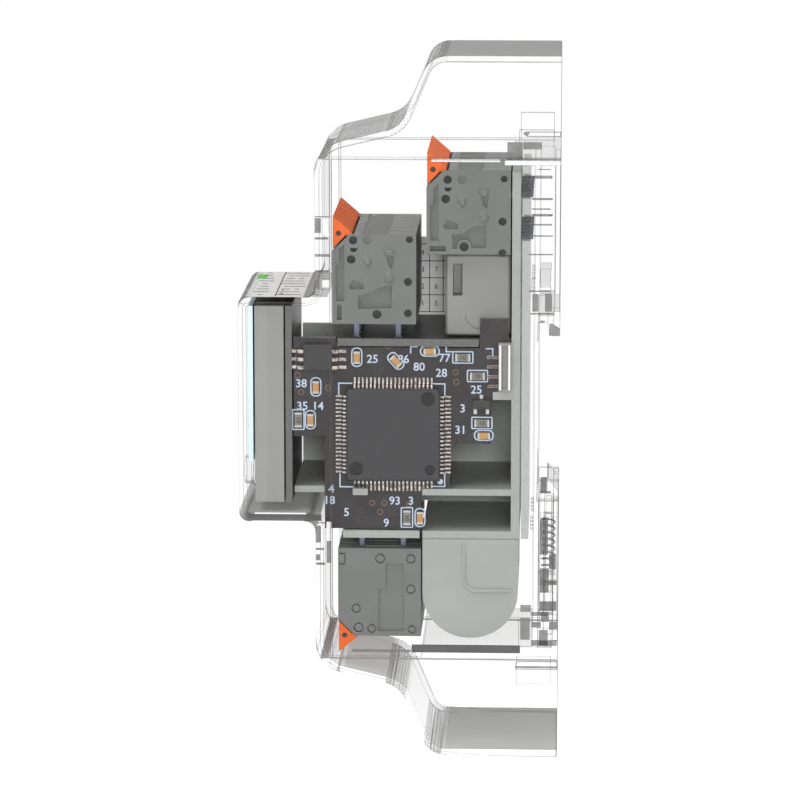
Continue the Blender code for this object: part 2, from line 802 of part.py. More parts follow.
REAR_PINS = (REAR_ROW_TOP - REAR_PIN_DROP, REAR_ROW_TOP - REAR_PIN_DROP - REAR_PIN_SPACING)
FRONT_PINS = (FRONT_ROW_FACE + PIN_INSET, FRONT_ROW_FACE + PIN_INSET + PIN_SPACING)
LOWER_PINS = (LOWER_ROW_FACE + PIN_INSET, LOWER_ROW_FACE + PIN_INSET + PIN_SPACING)


def make_rows():
    tail = REAR_BOARD_BACK + PIN_TAIL
    make_row("rear", REAR_ROW_FACE, REAR_ROW_TOP, REAR_ROW_FOOT, 1, REAR_PINS, tail, "Y")
    tail = UPPER_BOARD_FOOT - PIN_TAIL
    make_row("front", FRONT_ROW_FACE, FRONT_ROW_TOP, FRONT_ROW_FOOT, 1, FRONT_PINS, tail, "Z")
    tail = LOWER_BOARD_TOP + PIN_TAIL
    make_row("lower", LOWER_ROW_FACE, LOWER_ROW_FOOT, LOWER_ROW_TOP, -1, LOWER_PINS, tail, "Z")


# Boards, carrier and what they carry


def make_boards():
    top = REAR_ROW_TOP - GAP
    holes = pins_through("rear_board_pins", REAR_BOARD_FRONT - GAP / 2, BACK_FACE, REAR_PINS, "Y")
    rear = box(
        "rear_board",
        (-ROW_HALF, REAR_BOARD_FRONT, LOWER_BOARD_FOOT),
        (ROW_HALF, REAR_BOARD_BACK, top),
    )
    cut(rear, holes)
    finish(rear, PALE)

    upper = box(
        "upper_terminal_board",
        (-ROW_HALF, UPPER_BOARD_FRONT, UPPER_BOARD_FOOT),
        (ROW_HALF, REAR_ROW_BACK, UPPER_BOARD_TOP),
    )
    low, high = UPPER_BOARD_FOOT - OVERSHOOT, UPPER_BOARD_TOP + OVERSHOOT
    notch = box(
        "main_tab_notch",
        (MAIN_BACK_X - GAP, MAIN_TAB_FRONT - GAP, low),
        (ROW_HALF + OVERSHOOT, REAR_ROW_BACK + OVERSHOOT, high),
    )
    cut(upper, notch, pins_through("upper_board_pins", low, high, FRONT_PINS, "Z"))
    finish(upper, PALE)

    lower = box(
        "lower_terminal_board",
        (-ROW_HALF, LOWER_ROW_FACE + LOWER_SETBACK, LOWER_BOARD_FOOT),
        (ROW_HALF, LOWER_ROW_BACK - GAP, LOWER_BOARD_TOP),
    )
    low, high = LOWER_BOARD_FOOT - OVERSHOOT, LOWER_BOARD_TOP + OVERSHOOT
    cut(lower, pins_through("lower_board_pins", low, high, LOWER_PINS, "Z"))
    finish(lower, PALE)

    display = box(
        "display_board",
        (-ROW_HALF, DISPLAY_BOARD_FRONT, BACKLIGHT_FOOT),
        (ROW_HALF, DISPLAY_BOARD_FRONT + DISPLAY_BOARD, NOSE_INNER - GAP),
    )
    finish(display, BLACK_BOARD)


def main_board_outline():
    """The main board from the side: stepped round the shelf, the nose and the plug."""
    top = UPPER_BOARD_TOP
    under = UPPER_BOARD_FOOT - GAP
    foot = LOWER_BOARD_TOP + GAP
    shelf_y = CUP_FRONT - GAP
    above_shelf = SHELF_TOP + GAP
    return [
        (MAIN_FRONT, top),
        (UPPER_BOARD_FRONT - GAP, top),
        (UPPER_BOARD_FRONT - GAP, under),
        (MAIN_TAB_FRONT, under),
        (MAIN_TAB_FRONT, top + MAIN_TAB_RISE),
        (MAIN_END, top + MAIN_TAB_RISE),
        (MAIN_END, MAIN_TAB_Z),
        (MAIN_END - MAIN_TAB_STEP, MAIN_TAB_Z),
        (MAIN_END - MAIN_TAB_STEP, MAIN_REAR_STEP_Z),
        (MAIN_WAIST_Y, MAIN_REAR_STEP_Z),
        (MAIN_WAIST_Y, above_shelf),
        (shelf_y, above_shelf),
        (shelf_y, foot),
        (SHOULDER_INNER + GAP, foot),
        (SHOULDER_INNER + GAP, MAIN_FRONT_STEP_Z),
        (MAIN_FRONT, MAIN_FRONT_STEP_Z),
    ]


def make_main_board():
    face = MAIN_FACE_X - GAP
    finish(side_solid("main_board", main_board_outline(), MAIN_BACK_X, face), BLACK_BOARD)
    half = CHIP_SIDE / 2
    chip = box(
        "metering_chip",
        (MAIN_FACE_X, CHIP_Y - half, CHIP_Z - half),
        (MAIN_FACE_X + CHIP_HEIGHT, CHIP_Y + half, CHIP_Z + half),
    )
    soften(chip, CHIP_EDGE)
    finish(chip, CHIP_BLACK)


def make_carrier():
    """Upright walls, shelf and the round-bottomed cup, moulded as one."""
    carrier = box(
        "inner_carrier",
        (-ROW_HALF, CARRIER_FRONT, LOWER_BOARD_FOOT),
        (ROW_HALF, CARRIER_BACK, REAR_ROW_TOP - GAP),
    )
    shelf_foot = SHELF_TOP - SHELF_THICKNESS
    shelf = box(
        "shelf",
        (-ROW_HALF, CUP_FRONT, shelf_foot),
        (ROW_HALF, CARRIER_FRONT + SINK, SHELF_TOP),
    )
    front_shelf = box(
        "front_shelf",
        (-ROW_HALF, MAIN_FRONT, shelf_foot),
        (MAIN_BACK_X - GAP, CUP_FRONT + SINK, SHELF_TOP),
    )
    side_top = UPPER_BOARD_FOOT - GAP
    side_end = CARRIER_WALL - ROW_HALF
    far_side = box(
        "far_side",
        (-ROW_HALF, SHOULDER_INNER + GAP, LOWER_BOARD_TOP + GAP),
        (side_end, CARRIER_FRONT + SINK, side_top),
    )
    far_nose_side = box(
        "far_nose_side",
        (-ROW_HALF, MAIN_FRONT, shelf_foot),
        (side_end, SHOULDER_INNER + GAP + SINK, side_top),
    )
    cup_outline = [
        (CUP_BACK, LOWER_BOARD_TOP, 0),
        (CUP_FRONT, LOWER_BOARD_TOP, 0),
        (CUP_FRONT, CUP_FOOT, CUP_RADIUS - SINK),
        (CUP_BACK, CUP_FOOT, CUP_RADIUS - SINK),
    ]
    inside = inset(cup_outline, [BOARD, CUP_WALL, CUP_WALL, CUP_WALL])
    steps = 2 * ROUND_STEPS
    cup = side_solid("cup", rounded(cup_outline, steps), -ROW_HALF, ROW_HALF)
    room = side_solid(
        "cup_room", rounded(inside, steps), -ROW_HALF - OVERSHOOT, ROW_HALF - CUP_WALL
    )
    low, high = CARRIER_FRONT - GAP / 2, CARRIER_BACK + GAP / 2
    join(carrier, shelf, cup, front_shelf, far_side, far_nose_side)
    cut(carrier, room, pins_through("carrier_pins", low, high, REAR_PINS, "Y"))
    finish(carrier, PALE)

    radius = CUP_RADIUS - CUP_WALL - GAP
    middle_y = CUP_BACK - CUP_RADIUS
    middle_z = CUP_FOOT + CUP_RADIUS
    room_length = 2 * ROW_HALF - CUP_WALL
    step = room_length / TRANSFORMERS
    half = TRANSFORMER_LENGTH / 2
    edge = TRANSFORMER_EDGE
    profile = [
        (TRANSFORMER_BORE, half),
        (radius - edge, half),
        (radius, half - edge),
        (radius, edge - half),
        (radius - edge, -half),
        (TRANSFORMER_BORE, -half),
    ]
    sideways = Matrix.Rotation(math.radians(90), 4, "Y")
    for i in range(TRANSFORMERS):
        x = -ROW_HALF + step * (i + 0.5)
        place = Matrix.Translation((x, middle_y, middle_z)) @ sideways
        name = f"current_transformer_{i + 1}"
        finish(turned(name, profile, TRANSFORMER_STEPS, place, closed=True), FERRITE, True)


def make_supply():
    """The potted supply between the rear row and its board, with a slot in its side."""
    back = REAR_ROW_BACK
    top = REAR_ROW_FOOT - GAP
    front = back - SUPPLY_DEPTH
    side = MAIN_BACK_X - GAP
    supply = box("supply_module", (-side, front, UPPER_BOARD_TOP + GAP), (side, back, top))
    slot_front = front + SUPPLY_SLOT_INSET
    slot_top = top - SUPPLY_SLOT_DROP
    slot = box(
        "supply_slot",
        (side - SUPPLY_SLOT_DEPTH, slot_front, slot_top - SUPPLY_SLOT_HEIGHT),
        (side + OVERSHOOT, slot_front + SUPPLY_SLOT_WIDTH, slot_top),
    )
    soften(supply, SUPPLY_EDGE)
    cut(supply, slot)
    finish(supply, MID_GREY)


# Display, button and switch


def make_display():
    top = NOSE_INNER - GAP
    glass = box(
        "display_glass",
        (-ROW_HALF, GLASS_FRONT, GLASS_FOOT),
        (ROW_HALF, GLASS_FRONT + GLASS, top),
    )
    finish(glass, GLASS_BLUE)
    light = box(
        "backlight",
        (-ROW_HALF, BACKLIGHT_FRONT, BACKLIGHT_FOOT),
        (ROW_HALF, BACKLIGHT_FRONT + BACKLIGHT, top),
    )
    half = SWITCH_SIDE / 2 + GAP
    notch = box(
        "switch_notch",
        (-half, BACKLIGHT_FRONT - OVERSHOOT, BUTTON_Z - half),
        (half, BACKLIGHT_FRONT + BACKLIGHT_NOTCH, BUTTON_Z + half),
    )
    cut(light, notch)
    finish(light, MID_GREY)

    inner = NOSE_FACE + SHOULDER_WALL + GAP
    seat = inner + BUTTON_FLANGE_THICKNESS
    profile = [
        (0, 0),
        (BUTTON_RADIUS, 0),
        (BUTTON_RADIUS, NOSE_FACE - inner),
        (BUTTON_FLANGE, NOSE_FACE - inner),
        (BUTTON_FLANGE, NOSE_FACE - seat),
        (0, NOSE_FACE - seat),
    ]
    forward = Matrix.Rotation(math.radians(90), 4, "X")
    place = Matrix.Translation((0, NOSE_FACE, BUTTON_Z)) @ forward
    finish(turned("scroll_button", profile, BUTTON_STEPS, place), CLEAR, True)

    switch = box(
        "button_switch",
        (-SWITCH_SIDE / 2, seat + BUTTON_TRAVEL + GAP, BUTTON_Z - SWITCH_SIDE / 2),
        (SWITCH_SIDE / 2, BACKLIGHT_FRONT + BACKLIGHT_NOTCH - GAP, BUTTON_Z + SWITCH_SIDE / 2),
    )
    finish(switch, CHIP_BLACK)


# Rail foot and its spring


def make_foot():
    latch_top = FOOT_SHOULDER + FOOT_LIP
    outline = [
        (FOOT_FRONT, FOOT_SHOULDER),
        (RAIL_FLANGE, FOOT_SHOULDER),
        (RAIL_FLANGE, latch_top),
        (RAIL_FLANGE + GAP, latch_top),
        (FOOT_BACK, latch_top - FOOT_LEAD),
        (FOOT_BACK, FOOT_END),
        (FOOT_FRONT, FOOT_END),
    ]
    foot = side_solid("rail_foot", outline, -FOOT_HALF, FOOT_HALF)
    middle = (FOOT_FRONT + FOOT_BACK) / 2
    reach = FOOT_HALF + TONGUE_SIDE - GAP
    tongues = box(
        "foot_tongues",
        (-reach, middle - TONGUE_DEPTH / 2, FOOT_END + TONGUE_INSET),
        (reach, middle + TONGUE_DEPTH / 2, FOOT_SHOULDER - TONGUE_INSET),
    )
    join(foot, tongues)
    before, behind = FOOT_FRONT - OVERSHOOT, FOOT_BACK + OVERSHOOT
    window = box(
        "spring_window", (-WINDOW_HALF, before, WINDOW_END), (WINDOW_HALF, behind, WINDOW_TOP)
    )
    slot_top = FOOT_END + PRY_SLOT_RISE + PRY_SLOT
    pry = box(
        "pry_slot",
        (-FOOT_HALF / 2, before, FOOT_END + PRY_SLOT_RISE),
        (FOOT_HALF / 2, behind, slot_top),
    )
    cut(foot, window, pry)
    finish(foot, CLEAR)


def make_spring():
    """A coil between the ledge of the base and the foot's window, one unbroken wire."""
    low = LEDGE_TOP + GAP + SPRING_WIRE / 2
    rise = SPRING_LENGTH - SPRING_WIRE
    middle = (FOOT_FRONT + FOOT_BACK) / 2
    count = SPRING_TURNS * SPRING_POINTS + 1
    points = []
    for i in range(count):
        angle = 2 * math.pi * i / SPRING_POINTS
        x = SPRING_RADIUS * math.cos(angle)
        y = middle + SPRING_RADIUS * math.sin(angle)
        points.append(Vector((x, y, low + rise * i / (count - 1))))
    apart = [
        (points[i] - points[j]).length - SPRING_WIRE
        for i in range(count)
        for j in range(i + SPRING_POINTS // 2, count)
    ]
    print(f"spring turns: least gap {1000 * min(apart):.2f} mm")
    curve = bpy.data.curves.new("foot_spring", "CURVE")
    curve.dimensions = "3D"
    curve.bevel_depth = SPRING_WIRE / 2
    curve.bevel_resolution = 1
    curve.use_fill_caps = True
    spline = curve.splines.new("POLY")
    spline.points.add(count - 1)
    for point, place in zip(spline.points, points):
        point.co = (*place, 1)
    spring = bpy.data.objects.new("foot_spring", curve)
    TOOLS.objects.link(spring)
    finish_curve(spring)


def finish_curve(obj):
    """Makes a bevelled curve a closed mesh and finishes it as steel."""
    shown = obj.evaluated_get(bpy.context.evaluated_depsgraph_get())
    mesh = bpy.data.meshes.new_from_object(shown)
    name = obj.name
    bpy.data.objects.remove(obj)
    bm = bmesh.new()
    bm.from_mesh(mesh)
    bmesh.ops.remove_doubles(bm, verts=bm.verts, dist=MERGE)
    bmesh.ops.recalc_face_normals(bm, faces=bm.faces)
    bm.to_mesh(mesh)
    bm.free()
    finish(add_mesh(name, mesh), STEEL, True)


make_covers()
make_front_housing()
make_base_housing()
make_rows()
make_boards()
make_main_board()
make_carrier()
make_supply()
make_display()
make_foot()
make_spring()
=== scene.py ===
"""Dresses a see-through electricity meter for a 35 mm rail and sets up its studio.

X is the width, Y the depth with the display towards -Y, Z is up. Metres throughout,
and every piece is modelled where the CAD frame has it.
"""

import math

import bpy
from bpy.props import FloatProperty, FloatVectorProperty, IntProperty, PointerProperty
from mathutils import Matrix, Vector


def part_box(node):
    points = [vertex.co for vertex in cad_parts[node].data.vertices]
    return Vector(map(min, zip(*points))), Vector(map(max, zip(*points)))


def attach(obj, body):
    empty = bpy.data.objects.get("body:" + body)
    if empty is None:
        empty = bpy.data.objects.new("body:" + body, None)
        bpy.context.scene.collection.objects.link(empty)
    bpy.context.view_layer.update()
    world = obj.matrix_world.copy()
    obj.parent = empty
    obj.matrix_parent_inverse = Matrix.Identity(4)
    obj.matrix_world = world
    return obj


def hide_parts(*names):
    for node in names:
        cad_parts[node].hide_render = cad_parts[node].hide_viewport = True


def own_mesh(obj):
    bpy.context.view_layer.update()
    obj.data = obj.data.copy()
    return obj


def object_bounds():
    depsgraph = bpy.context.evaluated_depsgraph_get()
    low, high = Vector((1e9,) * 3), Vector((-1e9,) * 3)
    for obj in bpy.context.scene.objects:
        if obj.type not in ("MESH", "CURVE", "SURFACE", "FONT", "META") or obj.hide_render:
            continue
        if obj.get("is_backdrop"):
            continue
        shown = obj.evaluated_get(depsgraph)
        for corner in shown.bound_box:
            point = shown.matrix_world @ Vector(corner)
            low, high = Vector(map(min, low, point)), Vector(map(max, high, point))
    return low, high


bl_info = {
    "name": "Rail Meter",
    "version": (1, 0, 0),
    "blender": (4, 5, 0),
    "location": "View3D > Sidebar > Rail Meter",
    "description": "Builds the looks of a see-through electricity meter",
    "category": "Object",
}

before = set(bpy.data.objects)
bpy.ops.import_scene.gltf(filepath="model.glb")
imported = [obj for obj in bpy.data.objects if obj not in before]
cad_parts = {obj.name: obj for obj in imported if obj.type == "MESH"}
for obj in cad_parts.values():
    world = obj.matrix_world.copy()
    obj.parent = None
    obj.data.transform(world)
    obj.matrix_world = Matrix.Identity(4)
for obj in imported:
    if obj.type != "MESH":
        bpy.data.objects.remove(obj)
CAD_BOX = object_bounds()

MM = 0.001
POLES = 6
POLE_PITCH = 5.0  # mm
ROW_END = 15.0  # mm from the middle to the end of a terminal row
WALL = ROW_END + 1.3  # mm from the middle to the inner face of a side wall
FOOT_SIDE = 8.0  # mm from the middle to the side of the foot
ENTRY_START, ENTRY_END = 6.5, 10.5  # mm from a row's face to its wire entries' two ends
ENTRY_HALF = 1.7  # mm, half the width of a wire entry
FUNNEL = 0.6  # mm, slope round a wire entry
BOARD_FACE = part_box("main_board")[1].x / MM  # the side that carries the parts, mm
PRINT = 0.03  # mm, thickness of a printed mark
SLIVER = 0.001  # mm, edges shorter than this are merged
FLAT = math.radians(0.5)  # faces that bend less than this become one
SINK = 0.05  # mm that a joined piece is set into what carries it
SORT_FROM = (0.31, 0.47, 0.83)  # m, the 3D cursor, from which points are put in order
SHELL_JOINT = 50.0  # mm above and below the middle, where the covers meet the case
SEAM = -40.9  # mm, where the two halves of the case meet
LIGHT_GUIDE_BACK = -53.7  # mm, where the display's light guide meets its frame
# Where the legs slope, the metal takes a painted reflection of the dark board.
LEG_SLOPE = (14.9, 15.2)  # mm, between these levels the legs of the chips slope
COVERS = ("upper_terminal_cover", "lower_terminal_cover")
SHELLS = ("base_housing", "front_housing", "rail_foot", "scroll_button", *COVERS)

# Small clear mouldings on the inner face of the near side wall: y and z of two corners, mm
WALL_RIBS = (
    (-6.5, 49.74, 4.0, 49.95), (-0.5, 47.8, 2.1, 48.0), (-1.6, 46.1, 2.4, 46.7),
    (-1.6, 41.9, 2.5, 42.3), (-1.6, 40.0, 2.1, 40.25), (-1.6, 38.7, 2.5, 39.15),
    (-1.5, 36.9, 2.4, 37.2), (-1.3, 34.7, 2.6, 34.95), (-2.1, 31.05, 2.6, 31.3),
    (-2.0, 23.8, 2.1, 24.05), (-1.8, 19.3, 2.7, 19.6), (-1.3, -41.3, 2.1, -40.6),
    (-1.2, -47.4, 3.9, -46.3), (-44.0, 38.3, -41.0, 38.5), (-44.0, 33.9, -41.4, 34.3),
    (-44.0, 30.5, -41.0, 31.0), (-44.0, 27.4, -41.2, 27.8), (-44.0, -22.9, -41.9, -22.7),
    (-44.0, -28.3, -42.4, -27.9), (-44.0, -31.3, -42.2, -30.9),
)
WALL_LUMPS = (
    (-1.4, 19.9, -0.2, 23.4), (1.1, 19.9, 2.5, 23.4), (0.15, 17.7, 1.1, 18.1),
    (-3.4, -40.5, -1.3, -39.1), (-1.2, -43.7, 0.7, -42.6), (0.7, -42.5, 2.3, -40.5),
    (-3.4, -46.2, -1.5, -41.8), (0.3, -47.4, 2.1, -44.2), (2.3, -44.1, 3.9, -42.5),
    (-36.9, -49.0, -25.2, -48.5), (-41.9, -30.9, -40.95, -26.5), (-44.0, -26.8, -43.0, -23.4),
    (-44.0, -30.4, -43.2, -29.2), (-44.0, 35.2, -42.8, 38.1), (-44.0, 24.2, -43.2, 25.9),
)
WALL_LEDGES = (
    (-21.2, 49.3, -7.8, 49.85), (-6.9, 48.7, 4.0, 49.65), (-41.9, -26.4, -40.95, -22.6),
    (-42.5, 34.6, -40.95, 38.1), (-42.6, 24.4, -41.0, 25.9),
)
# Strips of painted shade where thick clear floors are seen on their edge: y and z of two corners, mm
FLOOR_EDGE_SHADES = ((-57.6, -22.4, -42.9, -21.1), (-25.0, -49.0, -3.4, -47.4))
# Lumps on the tongue that the upper cover slips over, and on the foot
TONGUE_LUMPS = ((-6.4, 50.0, -3.4, 53.2), (-3.3, 51.8, 0.3, 53.2))
FOOT_LUMPS = (
    (0.3, -30.7, 2.0, -23.4), (2.2, -33.6, 3.6, -30.6),
    (0.3, -38.5, 2.2, -33.5), (0.3, -18.1, 2.5, -17.7),
)
# The rail hook's thick end, and the catches of the two covers
HOOK_END = ((2.0, 17.7), (2.6, 17.7), (4.0, 16.8), (4.0, 15.3), (1.9, 15.3))
UPPER_CATCH = ((-3.4, 54.9), (-2.6, 54.3), (4.0, 54.3), (4.0, 55.3), (-2.9, 55.3))
LOWER_CATCH = ((-4.4, -51.0), (-3.8, -50.6), (4.0, -50.6), (4.0, -52.3), (-4.4, -52.3))
UPPER_TOOTH = ((-3.3, 54.9), (-2.5, 54.4), (-2.0, 55.2), (-2.8, 55.2))
LOWER_TOOTH = ((-4.3, -51.6), (3.9, -51.6), (3.9, -52.0), (-4.3, -52.0))
CATCH_LINE = 0.16  # mm

# Moulded marks on the ends of the upper rows, in mm behind the face and below the top
# Holes: behind, below, radius
END_HOLES = (
    (4.15, 1.20, 0.82), (15.2, 1.00, 0.66), (3.75, 5.00, 0.84),
    (14.9, 9.40, 0.80), (14.9, 15.60, 0.78),
)
END_DIMPLE = (6.9, 1.10, 0.85)
END_CHANNEL = ((1.4, 2.9), (2.35, 2.0), (2.35, 13.2), (0.75, 13.2), (0.75, 6.1), (1.4, 6.1))
END_POCKET = ((3.3, 10.3), (4.1, 9.1), (6.1, 9.8), (6.2, 10.9), (3.7, 10.9))
END_STEP = ((5.1, 12.1), (7.1, 11.8), (9.2, 10.4), (11.7, 10.2), (11.7, 14.6), (5.1, 14.8))
END_TOE = ((10.65, 4.6), (12.25, 4.6), (11.75, 6.7), (11.25, 6.5))
END_KITE = ((5.7, 4.1), (6.7, 3.7), (7.65, 4.3), (7.85, 5.7), (7.15, 6.8), (5.8, 5.2))
END_KITE_TOP = (7.2, 6.25)
END_WEDGE = ((9.9, 3.0), (12.2, 3.0), (12.2, 4.5), (10.6, 4.5))
END_HOUSE = ((10.1, 7.2), (11.4, 6.9), (12.3, 8.4), (11.8, 9.6), (10.1, 9.5))
END_HOUSE_TOP = (11.5, 9.25)
END_NOTCH = ((3.5, 2.75), (5.05, 2.75), (4.55, 3.5), (3.75, 3.5))
# What differs between the two upper rows: how far all marks sit lower, one hole, one slot
ROW_MARKS = {
    "rear": (0.65, (7.4, 14.4, 0.90), ((0.7, 14.3), (3.8, 14.3), (3.8, 15.3), (0.7, 15.3))),
    "front": (0.0, (8.8, 15.9, 0.88), ((0.95, 14.1), (1.85, 14.1), (1.85, 17.0), (0.95, 17.0))),
}
HOLE = 0.78  # mm, depth of the holes
# The holes' floors are dark discs of painted shade.
HOLE_SHADE_DISC = (-0.82, -0.70)  # mm above the end, the two faces of their dark floors
BOSS = 1.45  # mm, radius of the boss round the rear row's own hole

# Marks on the ends of the lower row, measured in the same way
LOWER_RINGS = (
    (8.4, 2.0, 1.00), (14.5, 2.0, 0.95), (14.5, 8.2, 0.95), (3.6, 12.2, 0.95),
    (4.1, 16.1, 1.00), (6.7, 16.3, 0.90), (14.7, 16.4, 0.85),
)
LOWER_PANEL = ((9.5, 2.9), (13.1, 2.9), (13.1, 16.8), (8.0, 16.8), (8.0, 8.1), (9.5, 8.1))
LOWER_HOOK = (
    (0.0, 0.9), (1.5, 0.9), (1.5, 3.3), (0.0, 3.3),
    (0.0, 3.0), (1.2, 3.0), (1.2, 1.2), (0.0, 1.2),
)

# At the pivot, a dark disc of painted shade stands in for the shaded hole.
PIVOT = (1.15, 2.95)  # mm from a lever's face and from its root to its pin

# A bent rib on the near side of the carrier's cup: y and z, mm
CUP_RIB = (
    (-15.0, -27.0), (-15.0, -34.5), (-14.6, -35.8), (-13.1, -36.9), (-5.0, -36.8),
    (-5.0, -36.2), (-12.9, -36.2), (-14.0, -35.3), (-14.4, -34.4), (-14.4, -27.0),
)
# The bent joint line on the supply box
SUPPLY_LINE = (
    (-14.6, 18.6), (-14.5, 17.5), (-12.9, 15.9), (-5.3, 15.9),
    (-5.3, 16.1), (-12.8, 16.1), (-14.3, 17.6), (-14.4, 18.6),
)

# The label on the display head, mm: its level, x and y of two corners of its ground and its mark
LABEL_TOP = 22.5
LABEL_GROUND = ((-16.4, -57.6), (16.4, -41.6))
LABEL_MARK = ((-12.5, -57.2), (-7.0, -55.2))
LABEL_RULES = (-51.9, -45.9)  # y
LABEL_RULE_END = 15.6  # x
LABEL_COLUMNS = (-55.0, -50.4, -48.2, -44.0)  # y of the short bars' middles
LABEL_BARS = 9  # in each column
FIRST_BAR, BAR_PITCH = -14.4, 3.5  # x of the first bar, and the spacing
LABEL_NUMBERS = (("1", 8.0, -50.9), ("2", 12.5, -50.9), ("3", 12.0, -44.6))  # text, x, y
# The label on the far wall, mm: y and z of two corners, its rules and the places of its numbers
SIDE_LABEL = (-26.0, 12.5, -8.0, 30.0)
SIDE_RULES = (14.5, 18.0, 21.5, 25.0, 28.5)  # z
SIDE_RULE_ENDS = (-25.4, -8.6)  # y
SIDE_UPRIGHTS = (-25.4, -22.6, -19.8)  # y
SIDE_LINES = (16.2, 19.7, 23.2, 26.7)  # z of the numbers
SIDE_COLUMNS = (-24.0, -21.2, -18.2)  # y of the numbers
SIDE_STROKE = 0.08  # half the width of a rule

# Small parts on the main board: middle y and z in mm, turn in degrees
CAPACITORS = (
    (-35.9, 10.3, 90), (-28.2, 9.6, -48), (-21.5, 11.6, 0), (-44.0, 4.3, 90),
    (-45.1, -2.3, 90), (-10.8, -5.2, 0), (-23.4, -21.9, 90),
)
RESISTORS = (
    (-15.0, 10.4, 0), (-12.1, 6.7, 0), (-47.5, -2.3, 90), (-11.2, -2.7, 0), (-26.0, -21.9, 90),
)
CAPACITOR_SIZE = (1.25, 0.62, 0.65)  # mm, half the length, half the width, height
RESISTOR_SIZE = (1.5, 0.72, 0.45)
CAPACITOR_PRINT = (1.95, 1.1, 0.95)  # mm, half the length, half the width, rounding
RESISTOR_PRINT = (2.1, 1.25, 0.25)
VIAS = (
    (-29.6, 12.5), (-16.4, 7.4), (-16.3, 5.5), (-46.9, 3.2), (-41.6, 4.1),
    (-32.9, -19.0), (-30.5, -19.0), (-31.3, -20.8), (-25.6, -19.2), (-47.6, 6.6),
)
# Two chips, a transistor's feet and a connector: y and z of two corners, mm
DRIVER_BODY = (-46.4, 7.9, -40.8, 13.0)
DRIVER_LEGS = (8.3, 9.9, 11.5)  # z of the legs on each side
TRANSISTOR_BODY = (-13.0, 0.2, -9.6, 2.0)
TRANSISTOR_FEET = (
    (-12.85, -0.9, -12.15, 0.3), (-10.45, -0.9, -9.75, 0.3), (-11.65, 1.9, -10.95, 3.0),
)
CONNECTOR_SHELL = (-8.0, 3.7, -5.3, 13.5)
CONNECTOR_WELL = (-7.25, 4.3, -6.2, 12.9)
CONNECTOR_BARS = ((-7.82, 4.1, -7.42, 13.1), (-6.05, 4.1, -5.65, 13.1))
CONNECTOR_LEADS = (4.7, 6.6, 8.6, 10.5)  # z of their middles
LEAD_ENDS = (-10.2, -7.9)  # y of the connector leads' two ends
LEAD_HALF = 0.3  # half their width
# Score, clip and lug of the carrier, and the supply box's slot
CARRIER_SCORE = (-24.0, -26.15, -3.0, -25.95)
CARRIER_CLIP = (-36.7, -17.2, -33.7, -15.9)
CARRIER_LUG = (-9.1, 2.0, -5.3, 3.6)
SUPPLY_SLOT = (-17.0, 22.4, -15.3, 28.5)
# Dimples in the large chip: y, z, radius
CHIP_DIMPLES = ((-21.8, 2.3, 1.4), (-36.0, -11.8, 1.4), (-21.4, -12.0, 1.0))
# Corners of the large chip's printed frame: y, z and the two ways to its middle
CHIP_CORNERS = (
    (-39.6, 5.2, 1, -1), (-18.4, 5.2, -1, -1), (-39.4, -15.9, 1, 1), (-18.4, -15.7, -1, 1),
)
CHIP_DOT = (-19.4, -14.6, 0.55)  # y, z and radius of the dot in one of them
# Further printed corners beside parts of the upper edge
PART_CORNERS = (
    (-25.4, 12.6, 1, -1), (-20.6, 12.6, -1, -1), (-18.4, 11.4, 1, 1), (-9.0, 12.3, -1, -1),
)
CHIP_ARM, PART_ARM = 2.8, 1.5  # mm, length of the strokes of these corners
# Plain numbers printed beside the parts: text, y, z in mm
BOARD_NUMBERS = (
    ("25", -32.8, 9.9), ("80", -23.6, 8.4), ("86", -26.7, 9.9), ("28", -19.2, 7.2),
    ("77", -18.6, 10.2), ("25", -12.3, 3.9), ("38", -46.9, 4.9), ("35", -46.7, 0.4),
    ("14", -43.6, 0.4), ("3", -15.0, 0.1), ("31", -15.4, -4.2), ("4", -41.0, -16.3),
    ("18", -41.4, -18.6), ("93", -28.4, -18.6), ("3", -25.2, -18.6), ("5", -38.0, -21.0),
    ("9", -30.1, -23.1),
)

# Lamps, which all point at the middle: place and width in metres
KEY_LAMP = ((0.36, -0.36, 0.92), 0.8)
FILL_LAMPS = (((-0.74, 0.03, 0.14), 0.25), ((0, 0.74, 0.14), 0.25))
FRONT_LAMP = ((0.74, 0.03, 0.14), 0.2)


# Sizes, finishes and studio


def swatch(name, description, *colour):
    return FloatVectorProperty(name=name, description=description, subtype="COLOR", default=colour)


def amount(name, description, default, **more):
    return FloatProperty(name=name, description=description, default=default, **more)


def length(name, description, default):
    """A length, its default in mm."""
    return amount(name, description, default * MM, unit="LENGTH")


